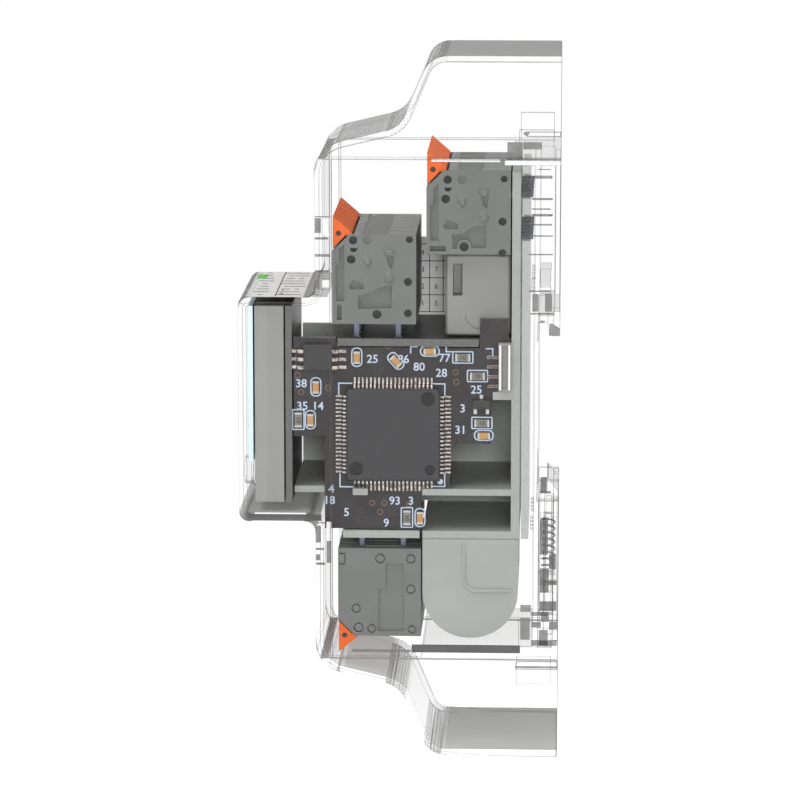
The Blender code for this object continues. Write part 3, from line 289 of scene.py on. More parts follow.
class MeterFinishes(bpy.types.PropertyGroup):
    """Colours of the plastics, boards, metals and prints."""

    terminal: swatch("Terminal grey", "Moulded terminal blocks", 0.167, 0.173, 0.167)
    lever: swatch("Lever orange", "Terminal levers", 0.73, 0.150, 0.045)
    pale: swatch("Carrier grey", "Inner carrier and pale boards", 0.345, 0.357, 0.334)
    mask: swatch("Solder mask", "Black boards", 0.040, 0.037, 0.037)
    chip: swatch("Chip body", "Moulding compound of the chips", 0.054, 0.054, 0.056)
    module: swatch("Module grey", "Supply box and display module", 0.258, 0.258, 0.251)
    display: swatch("Display blue", "Panes of the display glass", 0.72, 0.90, 0.98)
    silk: swatch("Board print", "Outlines and numbers printed on the main board", 0.52, 0.61, 0.74)
    ceramic: swatch("Ceramic tan", "Bodies of the capacitors", 0.46, 0.27, 0.12)
    tin: swatch("Tin", "Caps of the small parts and the transistor's feet", 0.60, 0.60, 0.58)
    pin: swatch("Pin metal", "Contacts of the terminal rows", 0.23, 0.235, 0.30)
    copper: swatch("Copper", "Rings on the main board", 0.30, 0.19, 0.15)
    # The grey of the clear faces is a painted sheen and reflection, not a tint of the plastic.
    clear: swatch("Clear plastic sheen", "Grey that clear faces show at a low angle", 0.39, 0.39, 0.385)
    label: swatch("Label", "Ground of the labels", 0.78, 0.78, 0.77)
    ink: swatch("Ink", "Rules and numbers of the labels, and painted shade in holes", 0.05, 0.05, 0.05)


class MeterSizes(bpy.types.PropertyGroup):
    """Sizes of the small details."""

    shell_edge: length("Shell edge", "Broken edges of the clear shells, painted with shade", 0.10)
    facet_shade_line: length("Facet shade line", "Lines of painted shade along the rounded faces of the covers", 0.04)
    foot_shade_line: length("Foot shade line", "Slope along the bottom of the lower cover, painted with shade", 0.25)
    shell_rim: length("Shell rim", "Slope along the sides of the clear shells", 1.0)
    leg_pitch: length("Leg pitch", "Spacing of the large chip's legs", 0.8)
    leg_width: length("Leg width", "Width of the large chip's legs", 0.38)
    legs: IntProperty(name="Legs", description="Legs on each side of the large chip", default=20)
    print_width: length("Print width", "Stroke of the board print", 0.24)
    number_height: length("Number height", "Height of the numbers printed on the board", 2.3)


class MeterStudio(bpy.types.PropertyGroup):
    """Camera and light."""

    azimuth: amount(
        "Azimuth", "Camera bearing round the meter", math.radians(92.345), subtype="ANGLE"
    )
    elevation: amount(
        "Elevation", "Camera height above the horizon", math.radians(10.433), subtype="ANGLE"
    )
    distance: amount("Distance", "Camera to target", 0.802914, unit="LENGTH")
    target: FloatVectorProperty(
        name="Target",
        description="Point in the middle of the picture",
        subtype="TRANSLATION",
        default=(0, -0.027975, -0.000907),
        precision=6,
    )
    lens: amount("Lens", "Focal length in millimetres", 179.67, unit="CAMERA")
    sky: amount("Sky", "Strength of the soft all-round light", 0.22)
    key: amount("Key", "Power of the large lamp overhead, in watts", 6.7, unit="POWER")
    fill: amount("Fill", "Power of the lamps on the far side and behind, in watts", 2.1, unit="POWER")
    front: amount("Front", "Power of the lamp beside the camera, in watts", 3.4, unit="POWER")
    floor: amount("Floor", "Height of the floor", -0.25, unit="LENGTH")


def finishes():
    return bpy.context.scene.meter_finishes


def sizes():
    return bpy.context.scene.meter_sizes


def studio():
    return bpy.context.scene.meter_studio


# Shader maths


def operation(kind, swapped=False):
    """A method that adds a Math node for one of Python's operators."""

    def apply(self, other=0.0):
        pair = (other, self) if swapped else (self, other)
        return self.look.maths(kind, *pair)

    return apply


class Value:
    """A shader socket. Sums, products and comparisons of values add Math nodes."""

    def __init__(self, look, socket):
        self.look = look
        self.socket = socket

    __add__ = __radd__ = operation("ADD")
    __mul__ = __rmul__ = operation("MULTIPLY")
    __sub__ = operation("SUBTRACT")
    __rsub__ = operation("SUBTRACT", swapped=True)
    __gt__ = operation("GREATER_THAN")
    __lt__ = operation("LESS_THAN")
    __abs__ = operation("ABSOLUTE")


class Look:
    """The nodes of one material or of the world."""

    def __init__(self, owner):
        owner.use_nodes = True
        self.tree = owner.node_tree
        self.tree.nodes.clear()

    def node(self, kind, settings, inputs, output=0):
        """Adds a node. A ramp's stops are given as {place: grey} under the key "stops"."""
        made = self.tree.nodes.new("ShaderNode" + kind)
        for key, value in settings.items():
            if key == "stops":
                self.set_stops(made.color_ramp, value)
            else:
                setattr(made, key, value)
        for key, value in inputs.items():
            if isinstance(value, Value):
                self.tree.links.new(value.socket, made.inputs[key])
            else:
                made.inputs[key].default_value = value
        return Value(self, made.outputs[output]) if made.outputs else None

    def set_stops(self, ramp, stops):
        while len(ramp.elements) < len(stops):
            ramp.elements.new(1)
        for element, (place, grey) in zip(ramp.elements, stops.items()):
            element.position = place
            element.color = (grey, grey, grey, 1)

    def maths(self, kind, first, second):
        return self.node("Math", {"operation": kind}, {0: first, 1: second})

    def ramp(self, value, stops):
        return self.node("ValToRGB", {"stops": stops}, {"Fac": value})

    def tint(self, factor, first, second):
        """Mixes two colours."""
        colours = [c if isinstance(c, Value) else (*c, 1) for c in (first, second)]
        return self.node("Mix", {"data_type": "RGBA"}, {0: factor, 6: colours[0], 7: colours[1]}, 2)

    def place(self):
        return self.node("TexCoord", {}, {}, "Object")

    def along(self, axis):
        return self.node("SeparateXYZ", {}, {0: self.place()}, axis)

    def geometry(self, output):
        return self.node("NewGeometry", {}, {}, output)

    def facing(self, axis):
        """How far a face looks along an axis, from -1 to 1."""
        return self.node("SeparateXYZ", {}, {0: self.geometry("Normal")}, axis)

    def noise(self, scale, detail=3.0, stretch=(1, 1, 1)):
        spot = self.node("Mapping", {}, {"Vector": self.place(), "Scale": stretch})
        return self.node("TexNoise", {}, {"Vector": spot, "Scale": scale, "Detail": detail}, "Fac")

    def wave(self, axis, scale, spot=None):
        inputs = {"Vector": spot or self.place(), "Scale": scale}
        return self.node("TexWave", {"bands_direction": axis}, inputs, "Fac")

    def relief(self, height, depth, strength=0.5):
        """A bump, its depth in metres."""
        inputs = {"Height": height, "Distance": depth, "Strength": strength}
        return self.node("Bump", {}, inputs)

    def veil(self, share, body):
        """Shows a share of a body and lets the rest of the light straight through."""
        glass = self.node("BsdfTransparent", {}, {"Color": (1, 1, 1, 1)})
        return self.node("MixShader", {}, {0: share, 1: glass, 2: body})

    def surface(self, colour, roughness, normal=None, **more):
        """A Principled surface. Keys of more are socket names with _ for a blank."""
        inputs = {"Base Color": colour, "Roughness": roughness}
        if not isinstance(colour, Value):
            inputs["Base Color"] = (*colour, 1)
        if normal:
            inputs["Normal"] = normal
        inputs.update({key.replace("_", " "): value for key, value in more.items()})
        return self.node("BsdfPrincipled", {}, inputs)

    def grained(self, grain, colours, roughness, spread, depth=0.0, **more):
        """A surface whose grain runs between two colours, roughens it and may stand out."""
        normal = self.relief(grain, depth) if depth else None
        return self.surface(self.tint(grain, *colours), roughness + spread * grain, normal, **more)


def shade(colour, factor):
    return tuple(part * factor for part in colour)


def tones(colour, dark, light):
    return shade(colour, dark), shade(colour, light)


def finish(title):
    """Makes a function that paints a look into one that gives the finished material."""

    def wrap(paint):
        def material():
            made = bpy.data.materials.get(title)
            if made is None:
                made = bpy.data.materials.new(title)
                look = Look(made)
                look.node("OutputMaterial", {}, {"Surface": paint(look)})
            return made

        return material

    return wrap


# Finishes


def see_through(look, colour, share):
    """Clear where it is looked through, with as much of a grey veil as a value says."""
    flow = look.noise(60.0, 2.0)
    body = look.surface(
        look.tint(flow, *tones(colour, 0.94, 1.06)),
        0.5 + 0.1 * look.noise(900.0),
        Specular_IOR_Level=0.0,
    )
    return look.veil(share, body)


def clear_sheet(look, share):
    """Painted sheen: grey on faces seen at a low angle, more of it on level faces as a painted
    reflection of darker surroundings, by a share, and clear elsewhere.
    """
    facing = look.node("LayerWeight", {}, {"Blend": 0.5}, "Facing")
    grazing_sheen = look.ramp(facing, {0.0: 0.012, 0.35: 0.04, 0.78: 0.94, 1.0: 0.97})
    # Level faces get more grey: a painted reflection of darker surroundings.
    level = look.ramp(abs(look.facing("Z")), {0.0: 0.2, 0.9: 0.5, 0.95: 0.7, 1.0: 1.0})
    front = 1 - look.geometry("Backfacing")
    return see_through(look, finishes().clear, share * grazing_sheen * front * level)


@finish("Clear polycarbonate")
def clear_plastic(look):
    return clear_sheet(look, 1.0)


@finish("Thin clear polycarbonate")
def thin_clear(look):
    return clear_sheet(look, 0.35)


@finish("Clear edge painted shade")
def clear_edge_shade(look):
    """Painted shade on the edges and fine ribs of the clear mouldings, standing in for how they bend
    away what lies behind them.
    """
    return see_through(look, shade(finishes().clear, 0.35), 0.35 + 0.35 * look.noise(240.0, 1.0))


@finish("Deep clear painted shade")
def deep_clear_shade(look):
    """Painted shade: a grey veil on thick clear lumps, standing in for how they look grey from the
    side.
    """
    return see_through(look, shade(finishes().clear, 0.6), 0.55 + 0.25 * look.noise(300.0, 1.0))


@finish("Shaded clear plastic")
def shaded_clear(look):
    """Painted shade: a dark veil on strips where a thick clear floor is seen on its edge."""
    return see_through(look, shade(finishes().clear, 0.3), 0.7 + 0.25 * look.noise(120.0, 1.0))


# Painted highlight: a pale veil along the ledges at the joints of the clear mouldings.
@finish("Painted edge highlight")
def edge_highlight(look):
    return see_through(look, (0.86, 0.86, 0.86), 0.80 + 0.15 * look.noise(500.0, 1.0))


def moulded(look, colour, grain=2600.0, roughness=0.42, depth=0.00003, gloss=0.35):
    """Moulded plastic: fine spark-eroded grain, faint flow marks."""
    flow = look.noise(140.0, 4.0, (1, 0.5, 1))
    speck = look.noise(grain, 2.0)
    return look.surface(
        look.tint(flow, *tones(colour, 0.88, 1.12)),
        roughness + 0.16 * speck,
        look.relief(speck, depth),
        Specular_IOR_Level=gloss,
    )


@finish("Terminal grey")
def terminal_plastic(look):
    return moulded(look, finishes().terminal)


@finish("Lever orange")
def lever_plastic(look):
    return moulded(look, finishes().lever, 3200.0, 0.55, gloss=0.12)


@finish("Carrier grey")
def carrier_plastic(look):
    return moulded(look, finishes().pale, 1800.0, 0.50)


@finish("Module grey")
def module_plastic(look):
    return moulded(look, finishes().module, 2200.0, 0.45)


@finish("Display module")
def backlight_plastic(look):
    """A light guide in front, its frame behind."""
    colour = finishes().module
    split = look.along("Y") > LIGHT_GUIDE_BACK * MM
    flow = look.noise(90.0, 3.0, (1, 1, 0.3))
    front = look.tint(flow, *tones(colour, 1.04, 1.24))
    rear = look.tint(flow, *tones(colour, 1.0, 1.14))
    return look.surface(look.tint(split, front, rear), 0.4 + 0.1 * look.noise(1500.0))


def laminate(look, colour):
    """Bare board with its glass cloth."""
    cloth = 0.5 * look.wave("Y", 420.0) + 0.5 * look.wave("Z", 420.0)
    return look.surface(
        look.tint(0.5 * cloth + 0.5 * look.noise(300.0), *tones(colour, 0.86, 1.12)),
        0.42 + 0.2 * cloth,
        look.relief(cloth, 0.00002),
    )


@finish("Pale board")
def pale_board(look):
    """Thin laminate; the pins inside it show through."""
    share = 0.56 * (1 - look.geometry("Backfacing"))
    return look.veil(share, laminate(look, shade(finishes().pale, 0.28)))


@finish("Terminal board")
def terminal_board(look):
    """Laminate, opaque where copper lies inside it."""
    return laminate(look, finishes().pale)


def masked_board(look, axis):
    """Black solder mask over slanting copper tracks, bare laminate on the edges."""
    colour = finishes().mask
    turn = (math.radians(45), 0, 0)
    slant = look.node("Mapping", {}, {"Vector": look.place(), "Rotation": turn})
    tracks = look.wave("Y", 520.0, slant)
    field = look.noise(120.0, 1.0) > 0.56
    copper = look.ramp(tracks, {0.62: 0.0, 0.74: 1.0}) * field
    speck = look.noise(2500.0)
    mask = look.tint(speck, *tones(colour, 0.85, 1.15))
    edge = abs(look.facing(axis)) < 0.5
    bare = look.tint(speck, (0.10, 0.10, 0.098), (0.17, 0.17, 0.165))
    return look.surface(
        look.tint(edge, look.tint(copper, mask, shade(colour, 1.5)), bare),
        0.34 + 0.14 * speck,
        look.relief(copper, 0.00004, 0.6),
        Specular_IOR_Level=0.4,
    )


@finish("Main board mask")
def main_mask(look):
    return masked_board(look, "X")


@finish("Display board mask")
def display_mask(look):
    return masked_board(look, "Y")


@finish("Upper board mask")
def upper_mask(look):
    return masked_board(look, "Z")


@finish("Chip compound")
def chip_plastic(look):
    colours = tones(finishes().chip, 0.75, 1.3)
    speck = look.noise(3800.0, 3.0)
    return look.grained(speck, colours, 0.48, 0.2, 0.00003, Specular_IOR_Level=0.4)


@finish("Polished dimple")
def polished_dimple(look):
    """Where a pin pushed the chip out of its mould."""
    colours = tones(shade(finishes().chip, 0.3), 0.8, 1.2)
    return look.grained(look.noise(3000.0, 2.0), colours, 0.3, 0.1)


@finish("Resistor glaze")
def resistor_glaze(look):
    colours = ((0.15, 0.145, 0.125), (0.25, 0.24, 0.21))
    return look.grained(look.noise(2400.0, 2.0), colours, 0.4, 0.2)


@finish("Display glass")
def display_glass(look):
    """Two panes with a pale blue cast, brighter towards the top."""
    colour = finishes().display
    rise = 0.5 + 20.0 * look.along("Z")
    film = look.tint(rise, *tones(colour, 0.85, 1.05))
    return look.surface(film, 0.08 + 0.05 * look.noise(400.0), Coat_Weight=0.3)


def metal(look, colour, roughness):
    wear = look.noise(1600.0, 4.0)
    return look.grained(wear, tones(colour, 0.82, 1.1), roughness, 0.2, 0.00002, Metallic=1.0)


@finish("Tinned copper")
def tinned_contact(look):
    return metal(look, finishes().tin, 0.28)


@finish("Pin metal")
def pin_metal(look):
    return metal(look, finishes().pin, 0.34)


@finish("Leg metal")
def leg_metal(look):
    """Tin worn thin over copper in spots, and a painted reflection of the dark board where a leg
    slopes.
    """
    level = look.along("X")
    low, high = LEG_SLOPE
    slope_reflection = (level > low * MM) * (1 - (level > high * MM))
    spots = look.ramp(look.noise(1500.0, 3.0), {0.30: 0.0, 0.55: 1.0}) * (1 - 0.9 * slope_reflection)
    return look.surface(
        look.tint(spots, (0.16, 0.12, 0.11), (0.66, 0.61, 0.57)),
        0.32 + 0.15 * look.noise(2600.0),
        look.relief(spots, 0.00003),
        Metallic=1.0,
    )


@finish("Bare copper")
def bare_copper(look):
    return metal(look, finishes().copper, 0.4)


@finish("Spring wire")
def spring_steel(look):
    return metal(look, (0.45, 0.46, 0.48), 0.25)


@finish("Winding")
def transformer_core(look):
    """Enamelled wire wound round a core, under tape."""
    colours = ((0.20, 0.08, 0.035), (0.42, 0.19, 0.085))
    return look.grained(look.wave("X", 500.0), colours, 0.35, 0.15, 0.0001)


@finish("Ceramic")
def ceramic(look):
    return look.grained(look.noise(2600.0), tones(finishes().ceramic, 0.82, 1.16), 0.4, 0.15)


def printed(look, colour):
    """Screen ink: a little uneven in cover."""
    return look.grained(look.noise(2200.0, 2.0), tones(colour, 0.86, 1.06), 0.55, 0.15)


@finish("Board print")
def board_print(look):
    return printed(look, finishes().silk)


@finish("Label ground")
def label_ground(look):
    return printed(look, finishes().label)


# Ink of the prints, and also the dark discs of painted shade in the rows' holes and the levers' pivots.
@finish("Label ink and painted shade")
def ink_and_painted_shade(look):
    return printed(look, finishes().ink)


@finish("Green mark")
def green_mark(look):
    return printed(look, (0.12, 0.50, 0.03))


@finish("White nylon")
def white_nylon(look):
    return moulded(look, (0.80, 0.80, 0.79), 2400.0, 0.4)


# Modelling


def only(*pieces):
    bpy.ops.object.select_all(action="DESELECT")
    for piece in pieces:
        piece.select_set(True)
    bpy.context.view_layer.objects.active = pieces[0]


def settle(name):
    """Names the piece that was just added and puts its place into its mesh."""
    piece = bpy.context.object
    piece.name = name
    bpy.ops.object.transform_apply(location=True, rotation=True, scale=True)
    return piece


def edit(piece):
    only(piece)
    bpy.ops.object.mode_set(mode="EDIT")
    bpy.ops.mesh.select_all(action="SELECT")


def leave():
    bpy.ops.object.mode_set(mode="OBJECT")


def block(name, low, high):
    """A box between two corners in mm."""
    low = Vector(low) * MM
    high = Vector(high) * MM
    bpy.ops.mesh.primitive_cube_add(size=1, location=(low + high) / 2, scale=high - low)
    return settle(name)


def slab(name, area, low, high):
    """A box over an area, y and z of two corners, between two levels of x, mm."""
    y0, z0, y1, z1 = area
    return block(name, (low, y0, z0), (high, y1, z1))


def slabs(name, areas, low, high, edge, segments=2):
    """A softened box for every area, joined, mm."""
    made = [soften(slab("slab", area, low, high), edge * MM, segments) for area in areas]
    return join(name, made)


def rod(name, y, z, low, high, radius, steps=20):
    """A round bar along X, in mm."""
    bpy.ops.mesh.primitive_cylinder_add(
        vertices=steps,
        radius=radius * MM,
        depth=(high - low) * MM,
        location=((low + high) / 2 * MM, y * MM, z * MM),
        rotation=(0, math.radians(90), 0),
    )
    return settle(name)


def face(name, outline, level, axes):
    """A flat face: the outline's two numbers and the level lie along the three axes, mm."""
    bpy.ops.mesh.primitive_circle_add(vertices=len(outline), fill_type="NGON")
    piece = settle(name)
    places = ["XYZ".index(axis) for axis in axes]
    for vertex, point in zip(piece.data.vertices, outline):
        for place, value in zip(places, (*point, level)):
            vertex.co[place] = value * MM
    return piece


def pull(piece, distance, axis):
    """Extrudes all of a flat piece along an axis, mm, and turns its faces outwards.

    Extruding leaves points in no fixed order, so they are sorted to make every run the same.
    """
    way = [0, 0, 0]
    way["XYZ".index(axis)] = distance * MM
    edit(piece)
    bpy.ops.mesh.extrude_region_move(TRANSFORM_OT_translate={"value": way})
    bpy.ops.mesh.select_all(action="SELECT")
    bpy.ops.mesh.normals_make_consistent(inside=False)
    bpy.ops.mesh.sort_elements(type="CURSOR_DISTANCE", elements={"VERT", "EDGE", "FACE"})
    leave()
    return piece


def plate(name, outline, low, high, axes="YZX"):
    return pull(face(name, outline, low, axes), high - low, axes[2])


def peak(name, outline, base, tip, summit):
    """A pyramid over an outline in y and z, from a base level of x to a tip at a summit, mm."""
    piece = plate(name, outline, base, tip)
    edit(piece)
    bpy.ops.mesh.select_all(action="DESELECT")
    leave()
    for polygon in piece.data.polygons:
        polygon.select = all(
            abs(piece.data.vertices[index].co.x - tip * MM) < SINK * MM for index in polygon.vertices
        )
    bpy.ops.object.mode_set(mode="EDIT")
    bpy.ops.mesh.merge(type="CENTER")
    leave()
    for vertex in piece.data.vertices:
        if vertex.select:
            vertex.co = Vector((tip, *summit)) * MM
    return piece


def bent_leg(path, rise, thick, lean, width):
    """A chip's leg on the board, mm. The path is its start, knee, heel and toe along Y."""
    start, knee, heel, toe = path
    low = BOARD_FACE + 0.02
    high = low + rise
    outline = (
        (start, high),
        (knee, high),
        (heel, low),
        (toe, low),
        (toe, low + thick),
        (heel + lean, low + thick),
        (knee + lean, high + thick),
        (start, high + thick),
    )
    return plate("leg", outline, -width / 2, width / 2, "YXZ")


def ring(name, outline, width, low, high, axes="YZX"):
    """A closed line of some width, raised from one level to another, mm."""
    piece = face(name, outline, low, axes)
    edit(piece)
    bpy.ops.mesh.inset(thickness=width * MM)
    bpy.ops.mesh.delete(type="FACE")
    leave()
    return pull(piece, high - low, axes[2])


def text(name, words, height, place, turn, bold=0.0):
    """Raised numbers, centred on a place in mm, turned by three angles in degrees."""
    bpy.ops.object.text_add()
    curve = bpy.context.object.data
    curve.body = words
    curve.size = height * MM
    curve.align_x = "CENTER"
    curve.align_y = "CENTER"
    curve.extrude = PRINT / 2 * MM
    curve.offset = bold * MM
    curve.resolution_u = 3
    bpy.ops.object.convert(target="MESH")
    piece = bpy.context.object
    piece.location = Vector(place) * MM
    piece.rotation_euler = [math.radians(angle) for angle in turn]
    return settle(name)


def modify(piece, kind, **settings):
    """Adds a modifier, sets it up and applies it."""
    only(piece)
    modifier = piece.modifiers.new(kind.lower(), kind)
    for key, value in settings.items():
        setattr(modifier, key, value)
    bpy.ops.object.modifier_apply(modifier=modifier.name)
    return piece


def clean(piece, distance):
    """Merges points closer than a distance in metres, and drops inner faces and flat edges."""
    edit(piece)
    bpy.ops.mesh.remove_doubles(threshold=distance)
    bpy.ops.mesh.select_all(action="DESELECT")
    bpy.ops.mesh.select_interior_faces()
    bpy.ops.mesh.delete(type="FACE")
    bpy.ops.mesh.select_all(action="SELECT")
    bpy.ops.mesh.dissolve_limited(angle_limit=FLAT)
    leave()
    return piece


def drop_slivers(piece):
    """Takes out the faces without area that broken edges leave where they meet."""
    edit(piece)
    bpy.ops.mesh.dissolve_degenerate(threshold=SLIVER * MM)
    leave()


def bevel(piece, width, limit="ANGLE", angle=30, segments=1, clamp=False, material=-1):
    """Breaks edges that are marked, or sharper than an angle, width in metres; may paint them."""
    return modify(
        piece,
        "BEVEL",
        width=width,
        segments=segments,
        limit_method=limit,
        angle_limit=math.radians(angle),
        use_clamp_overlap=clamp,
        material=material,
    )


def soften(piece, width, segments=2, angle=50, smooth=40):
    """Rounds the edges, width in metres, and shades bends below an angle as curved."""
    bevel(piece, width, "ANGLE", angle, segments, clamp=True)
    drop_slivers(piece)
    bpy.ops.object.shade_smooth_by_angle(angle=math.radians(smooth))
    return modify(piece, "WEIGHTED_NORMAL", keep_sharp=True)


def join(name, pieces):
    only(*pieces)
    if len(pieces) > 1:
        bpy.ops.object.join()
    pieces[0].name = name
    return pieces[0]


def cut(piece, tools, operation="DIFFERENCE"):
    """Takes tools that don't touch each other away from a piece, or adds them to it."""
    tool = join("tool", tools)
    modify(piece, "BOOLEAN", operation=operation, solver="EXACT", object=tool)
    drop(tool)
    return piece


def fresh(name, mesh):
    """A piece with its own copy of a mesh."""
    piece = bpy.data.objects.new(name, mesh.copy())
    bpy.context.scene.collection.objects.link(piece)
    return piece


def twin(piece, name, shift=(0, 0, 0), turn=0.0):
    """A copy of a piece, turned about X and then moved, mm and degrees."""
    copy = fresh(name, piece.data)
    copy.rotation_euler = (math.radians(turn), 0, 0)
    copy.location = Vector(shift) * MM
    only(copy)
    return settle(name)


def copy_of(node, name):
    """A CAD node's shape as a clean mesh of its own."""
    piece = fresh(name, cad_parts[node].data)
    edit(piece)
    bpy.ops.mesh.customdata_custom_splitnormals_clear()
    bpy.ops.mesh.remove_doubles(threshold=SLIVER * MM)
    bpy.ops.mesh.dissolve_limited(angle_limit=FLAT)
    leave()
    return piece


def drop(piece):
    bpy.data.meshes.remove(piece.data)


def dress(piece, *materials):
    piece.data.materials.clear()
    for material in materials:
        piece.data.materials.append(material)
    return piece


def show(piece, material, slot, *nodes, body="case"):
    """Dresses a piece, hangs it on the body that it moves with and hides the nodes that it stands for.
    The slot is not used.
    """
    dress(piece, material)
    fit(piece, body, slot, *nodes)


def fit(piece, body, slot, *nodes):
    """Hangs a piece on the empty of the body that it moves with and hides the nodes that it stands for.
    The slot is not used.
    """
    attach(piece, body)
    if nodes:
        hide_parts(*nodes)


def paint(node, material):
    """A new finish for a CAD node whose shape stays."""
    dress(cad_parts[node], material)


def corners(node):
    """A node's lowest and highest corner in mm."""
    low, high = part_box(node)
    return low / MM, high / MM


def rounded(y, z, half_y, half_z, radius, turn=0.0, steps=4):
    """Points of a rounded oblong round a middle, mm, turned by some degrees."""
    points = []
    for index, (side_y, side_z) in enumerate(((1, 1), (-1, 1), (-1, -1), (1, -1))):
        for step in range(steps + 1):
            angle = math.radians(90 * (index + step / steps))
            a = side_y * (half_y - radius) + radius * math.cos(angle)
            b = side_z * (half_z - radius) + radius * math.sin(angle)
            cos, sin = math.cos(math.radians(turn)), math.sin(math.radians(turn))
            points.append((y + a * cos - b * sin, z + a * sin + b * cos))
    return points


def circle(y, z, radius, steps=20):
    """Points of a circle round a middle, mm."""
    turns = [math.radians(360 * step / steps) for step in range(steps)]
    return [(y + radius * math.cos(turn), z + radius * math.sin(turn)) for turn in turns]


# Operators


class METER_OT_stage(bpy.types.Operator):
    """Sets up the camera, the light and the floor"""

    bl_idname = "meter.stage"
    bl_label = "Stage"

    def execute(self, context):
        settings = studio()
        scene = context.scene
        scene.view_settings.view_transform = "Standard"
        scene.cycles.transparent_max_bounces = 64  # the clear shells lie many layers deep
        level = math.cos(settings.elevation)
        back = Vector(
            (
                level * math.sin(settings.azimuth),
                -level * math.cos(settings.azimuth),
                math.sin(settings.elevation),
            )
        )
        bpy.ops.object.camera_add(
            location=Vector(settings.target) + settings.distance * back,
            rotation=back.to_track_quat("Z", "Y").to_euler(),
        )
        camera = context.object
        camera.data.lens = settings.lens
        camera.data.sensor_width = 36
        scene.camera = camera
        self.light(scene, settings)
        self.lay_floor(settings)
        return {"FINISHED"}

    def seen(self, look):
        """1 for a ray that should meet a white background."""
        path = look.node("LightPath", {}, {}, "Is Camera Ray")
        gloss = look.node("LightPath", {}, {}, "Is Glossy Ray")
        through = look.node("LightPath", {}, {}, "Is Transmission Ray")
        return look.maths("MINIMUM", path + gloss + through, 1.0)

    def light(self, scene, settings):
        scene.world = scene.world or bpy.data.worlds.new("Studio")
        look = Look(scene.world)
        strength = settings.sky + (1 - settings.sky) * self.seen(look)
        sky = look.node("Background", {}, {"Color": (1, 1, 1, 1), "Strength": strength})
        look.node("OutputWorld", {}, {"Surface": sky})
        self.hang_lamp(*KEY_LAMP, settings.key)
        for lamp in FILL_LAMPS:
            self.hang_lamp(*lamp, settings.fill).visible_glossy = False
        self.hang_lamp(*FRONT_LAMP, settings.front).visible_glossy = False

    def hang_lamp(self, place, size, power):
        place = Vector(place)
        bpy.ops.object.light_add(
            type="AREA", location=place, rotation=place.to_track_quat("Z", "Y").to_euler()
        )
        lamp = bpy.context.object
        lamp.data.size = size
        lamp.data.energy = power
        return lamp

    def lay_floor(self, settings):
        bpy.ops.mesh.primitive_plane_add(size=24, location=(0, 0, settings.floor))
        floor = settle("floor")
        material = bpy.data.materials.new("Studio floor")
        look = Look(material)
        seen = self.seen(look)
        colour = look.tint(seen, (0.85, 0.85, 0.85), (0.35, 0.35, 0.35))
        glow = look.tint(seen, (0, 0, 0), (0.93, 0.93, 0.93))
        surface = look.surface(
            colour, 0.9, Emission_Color=glow, Emission_Strength=1.0, Specular_IOR_Level=0.0
        )
        look.node("OutputMaterial", {}, {"Surface": surface})
        floor.data.materials.append(material)
        floor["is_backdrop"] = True


class METER_OT_shells(bpy.types.Operator):
    """Makes the clear case, its covers, the foot and the button"""

    bl_idname = "meter.shells"
    bl_label = "Clear Shells"

    def execute(self, context):
        bodies = {"base_housing": "case", "front_housing": "case"}
        for node in SHELLS:
            shell = copy_of(node, node + "_shell")
            sheet = thin_clear() if node == "base_housing" else clear_plastic()
            dress(shell, sheet, clear_edge_shade(), deep_clear_shade())
            self.mark(shell, self.on_rim)
            bevel(shell, sizes().shell_rim, "WEIGHT")
            self.mark(shell, self.on_foot)
            # The edge along the bottom is broken and painted with shade as a dark line.
            bevel(shell, sizes().foot_shade_line, "WEIGHT", material=2)
            # Broken edges are painted dark, as lines of painted shade.
            bevel(shell, sizes().shell_edge, angle=40 if node in COVERS else 25, material=1)
            if node in COVERS:
                # Folds across the covers' rounded faces get thin lines of painted shade.
                self.mark_folds(shell)
                bevel(shell, sizes().facet_shade_line, "WEIGHT", material=1)
            self.keep_inside(shell)
            drop_slivers(shell)
            fit(shell, bodies.get(node, node), "clear_plastic", node)
        return {"FINISHED"}

    def keep_inside(self, shell):
        """Brings corners that a broken edge pushed out back to the case's outline."""
        low, high = CAD_BOX
        for vertex in shell.data.vertices:
            for axis in range(3):
                vertex.co[axis] = min(max(vertex.co[axis], low[axis]), high[axis])

    def mark(self, shell, wanted):
        """Marks those long outer edges of the two sides that a test picks."""
        side = CAD_BOX[1].x - SINK * MM
        for mark, ends, normals in self.edges(shell.data):
            outer = all(abs(end.x) > side for end in ends)
            sharp = any(abs(normal.x) < 0.5 for normal in normals)
            mark.value = float(outer and sharp and wanted(ends))

    def mark_folds(self, shell):
        """Marks the long edges that run across the rounded faces."""
        long, least, most = 10 * MM, math.radians(4), math.radians(40)
        for mark, ends, normals in self.edges(shell.data):
            across = abs(ends[0].x - ends[1].x) > long
            folded = len(normals) == 2 and least < normals[0].angle(normals[1]) < most
            mark.value = float(across and folded)

    def edges(self, mesh):
        """Every edge as its bevel mark, its two ends and its faces' normals."""
        normals = {}
        for polygon in mesh.polygons:
            for key in polygon.edge_keys:
                normals.setdefault(key, []).append(polygon.normal)
        name = "bevel_weight_edge"
        marks = mesh.attributes.get(name) or mesh.attributes.new(name, "FLOAT", "EDGE")
        for edge in mesh.edges:
            ends = [mesh.vertices[index].co for index in edge.vertices]
            yield marks.data[edge.index], ends, normals[edge.key]

    def on_foot(self, ends):
        """Tells whether an edge lies along the bottom of the meter."""
        return all(end.z < CAD_BOX[0].z + SINK * MM for end in ends)

    def on_rim(self, ends):
        """Tells whether an edge is free, not at a joint, the bottom or the rail side."""
        near = 0.6 * MM
        level = all(abs(abs(end.z) - SHELL_JOINT * MM) < near for end in ends)
        upright = all(abs(end.y - SEAM * MM) < near for end in ends)
        behind = all(end.y > -near for end in ends)
        return not (level or upright or behind or self.on_foot(ends))


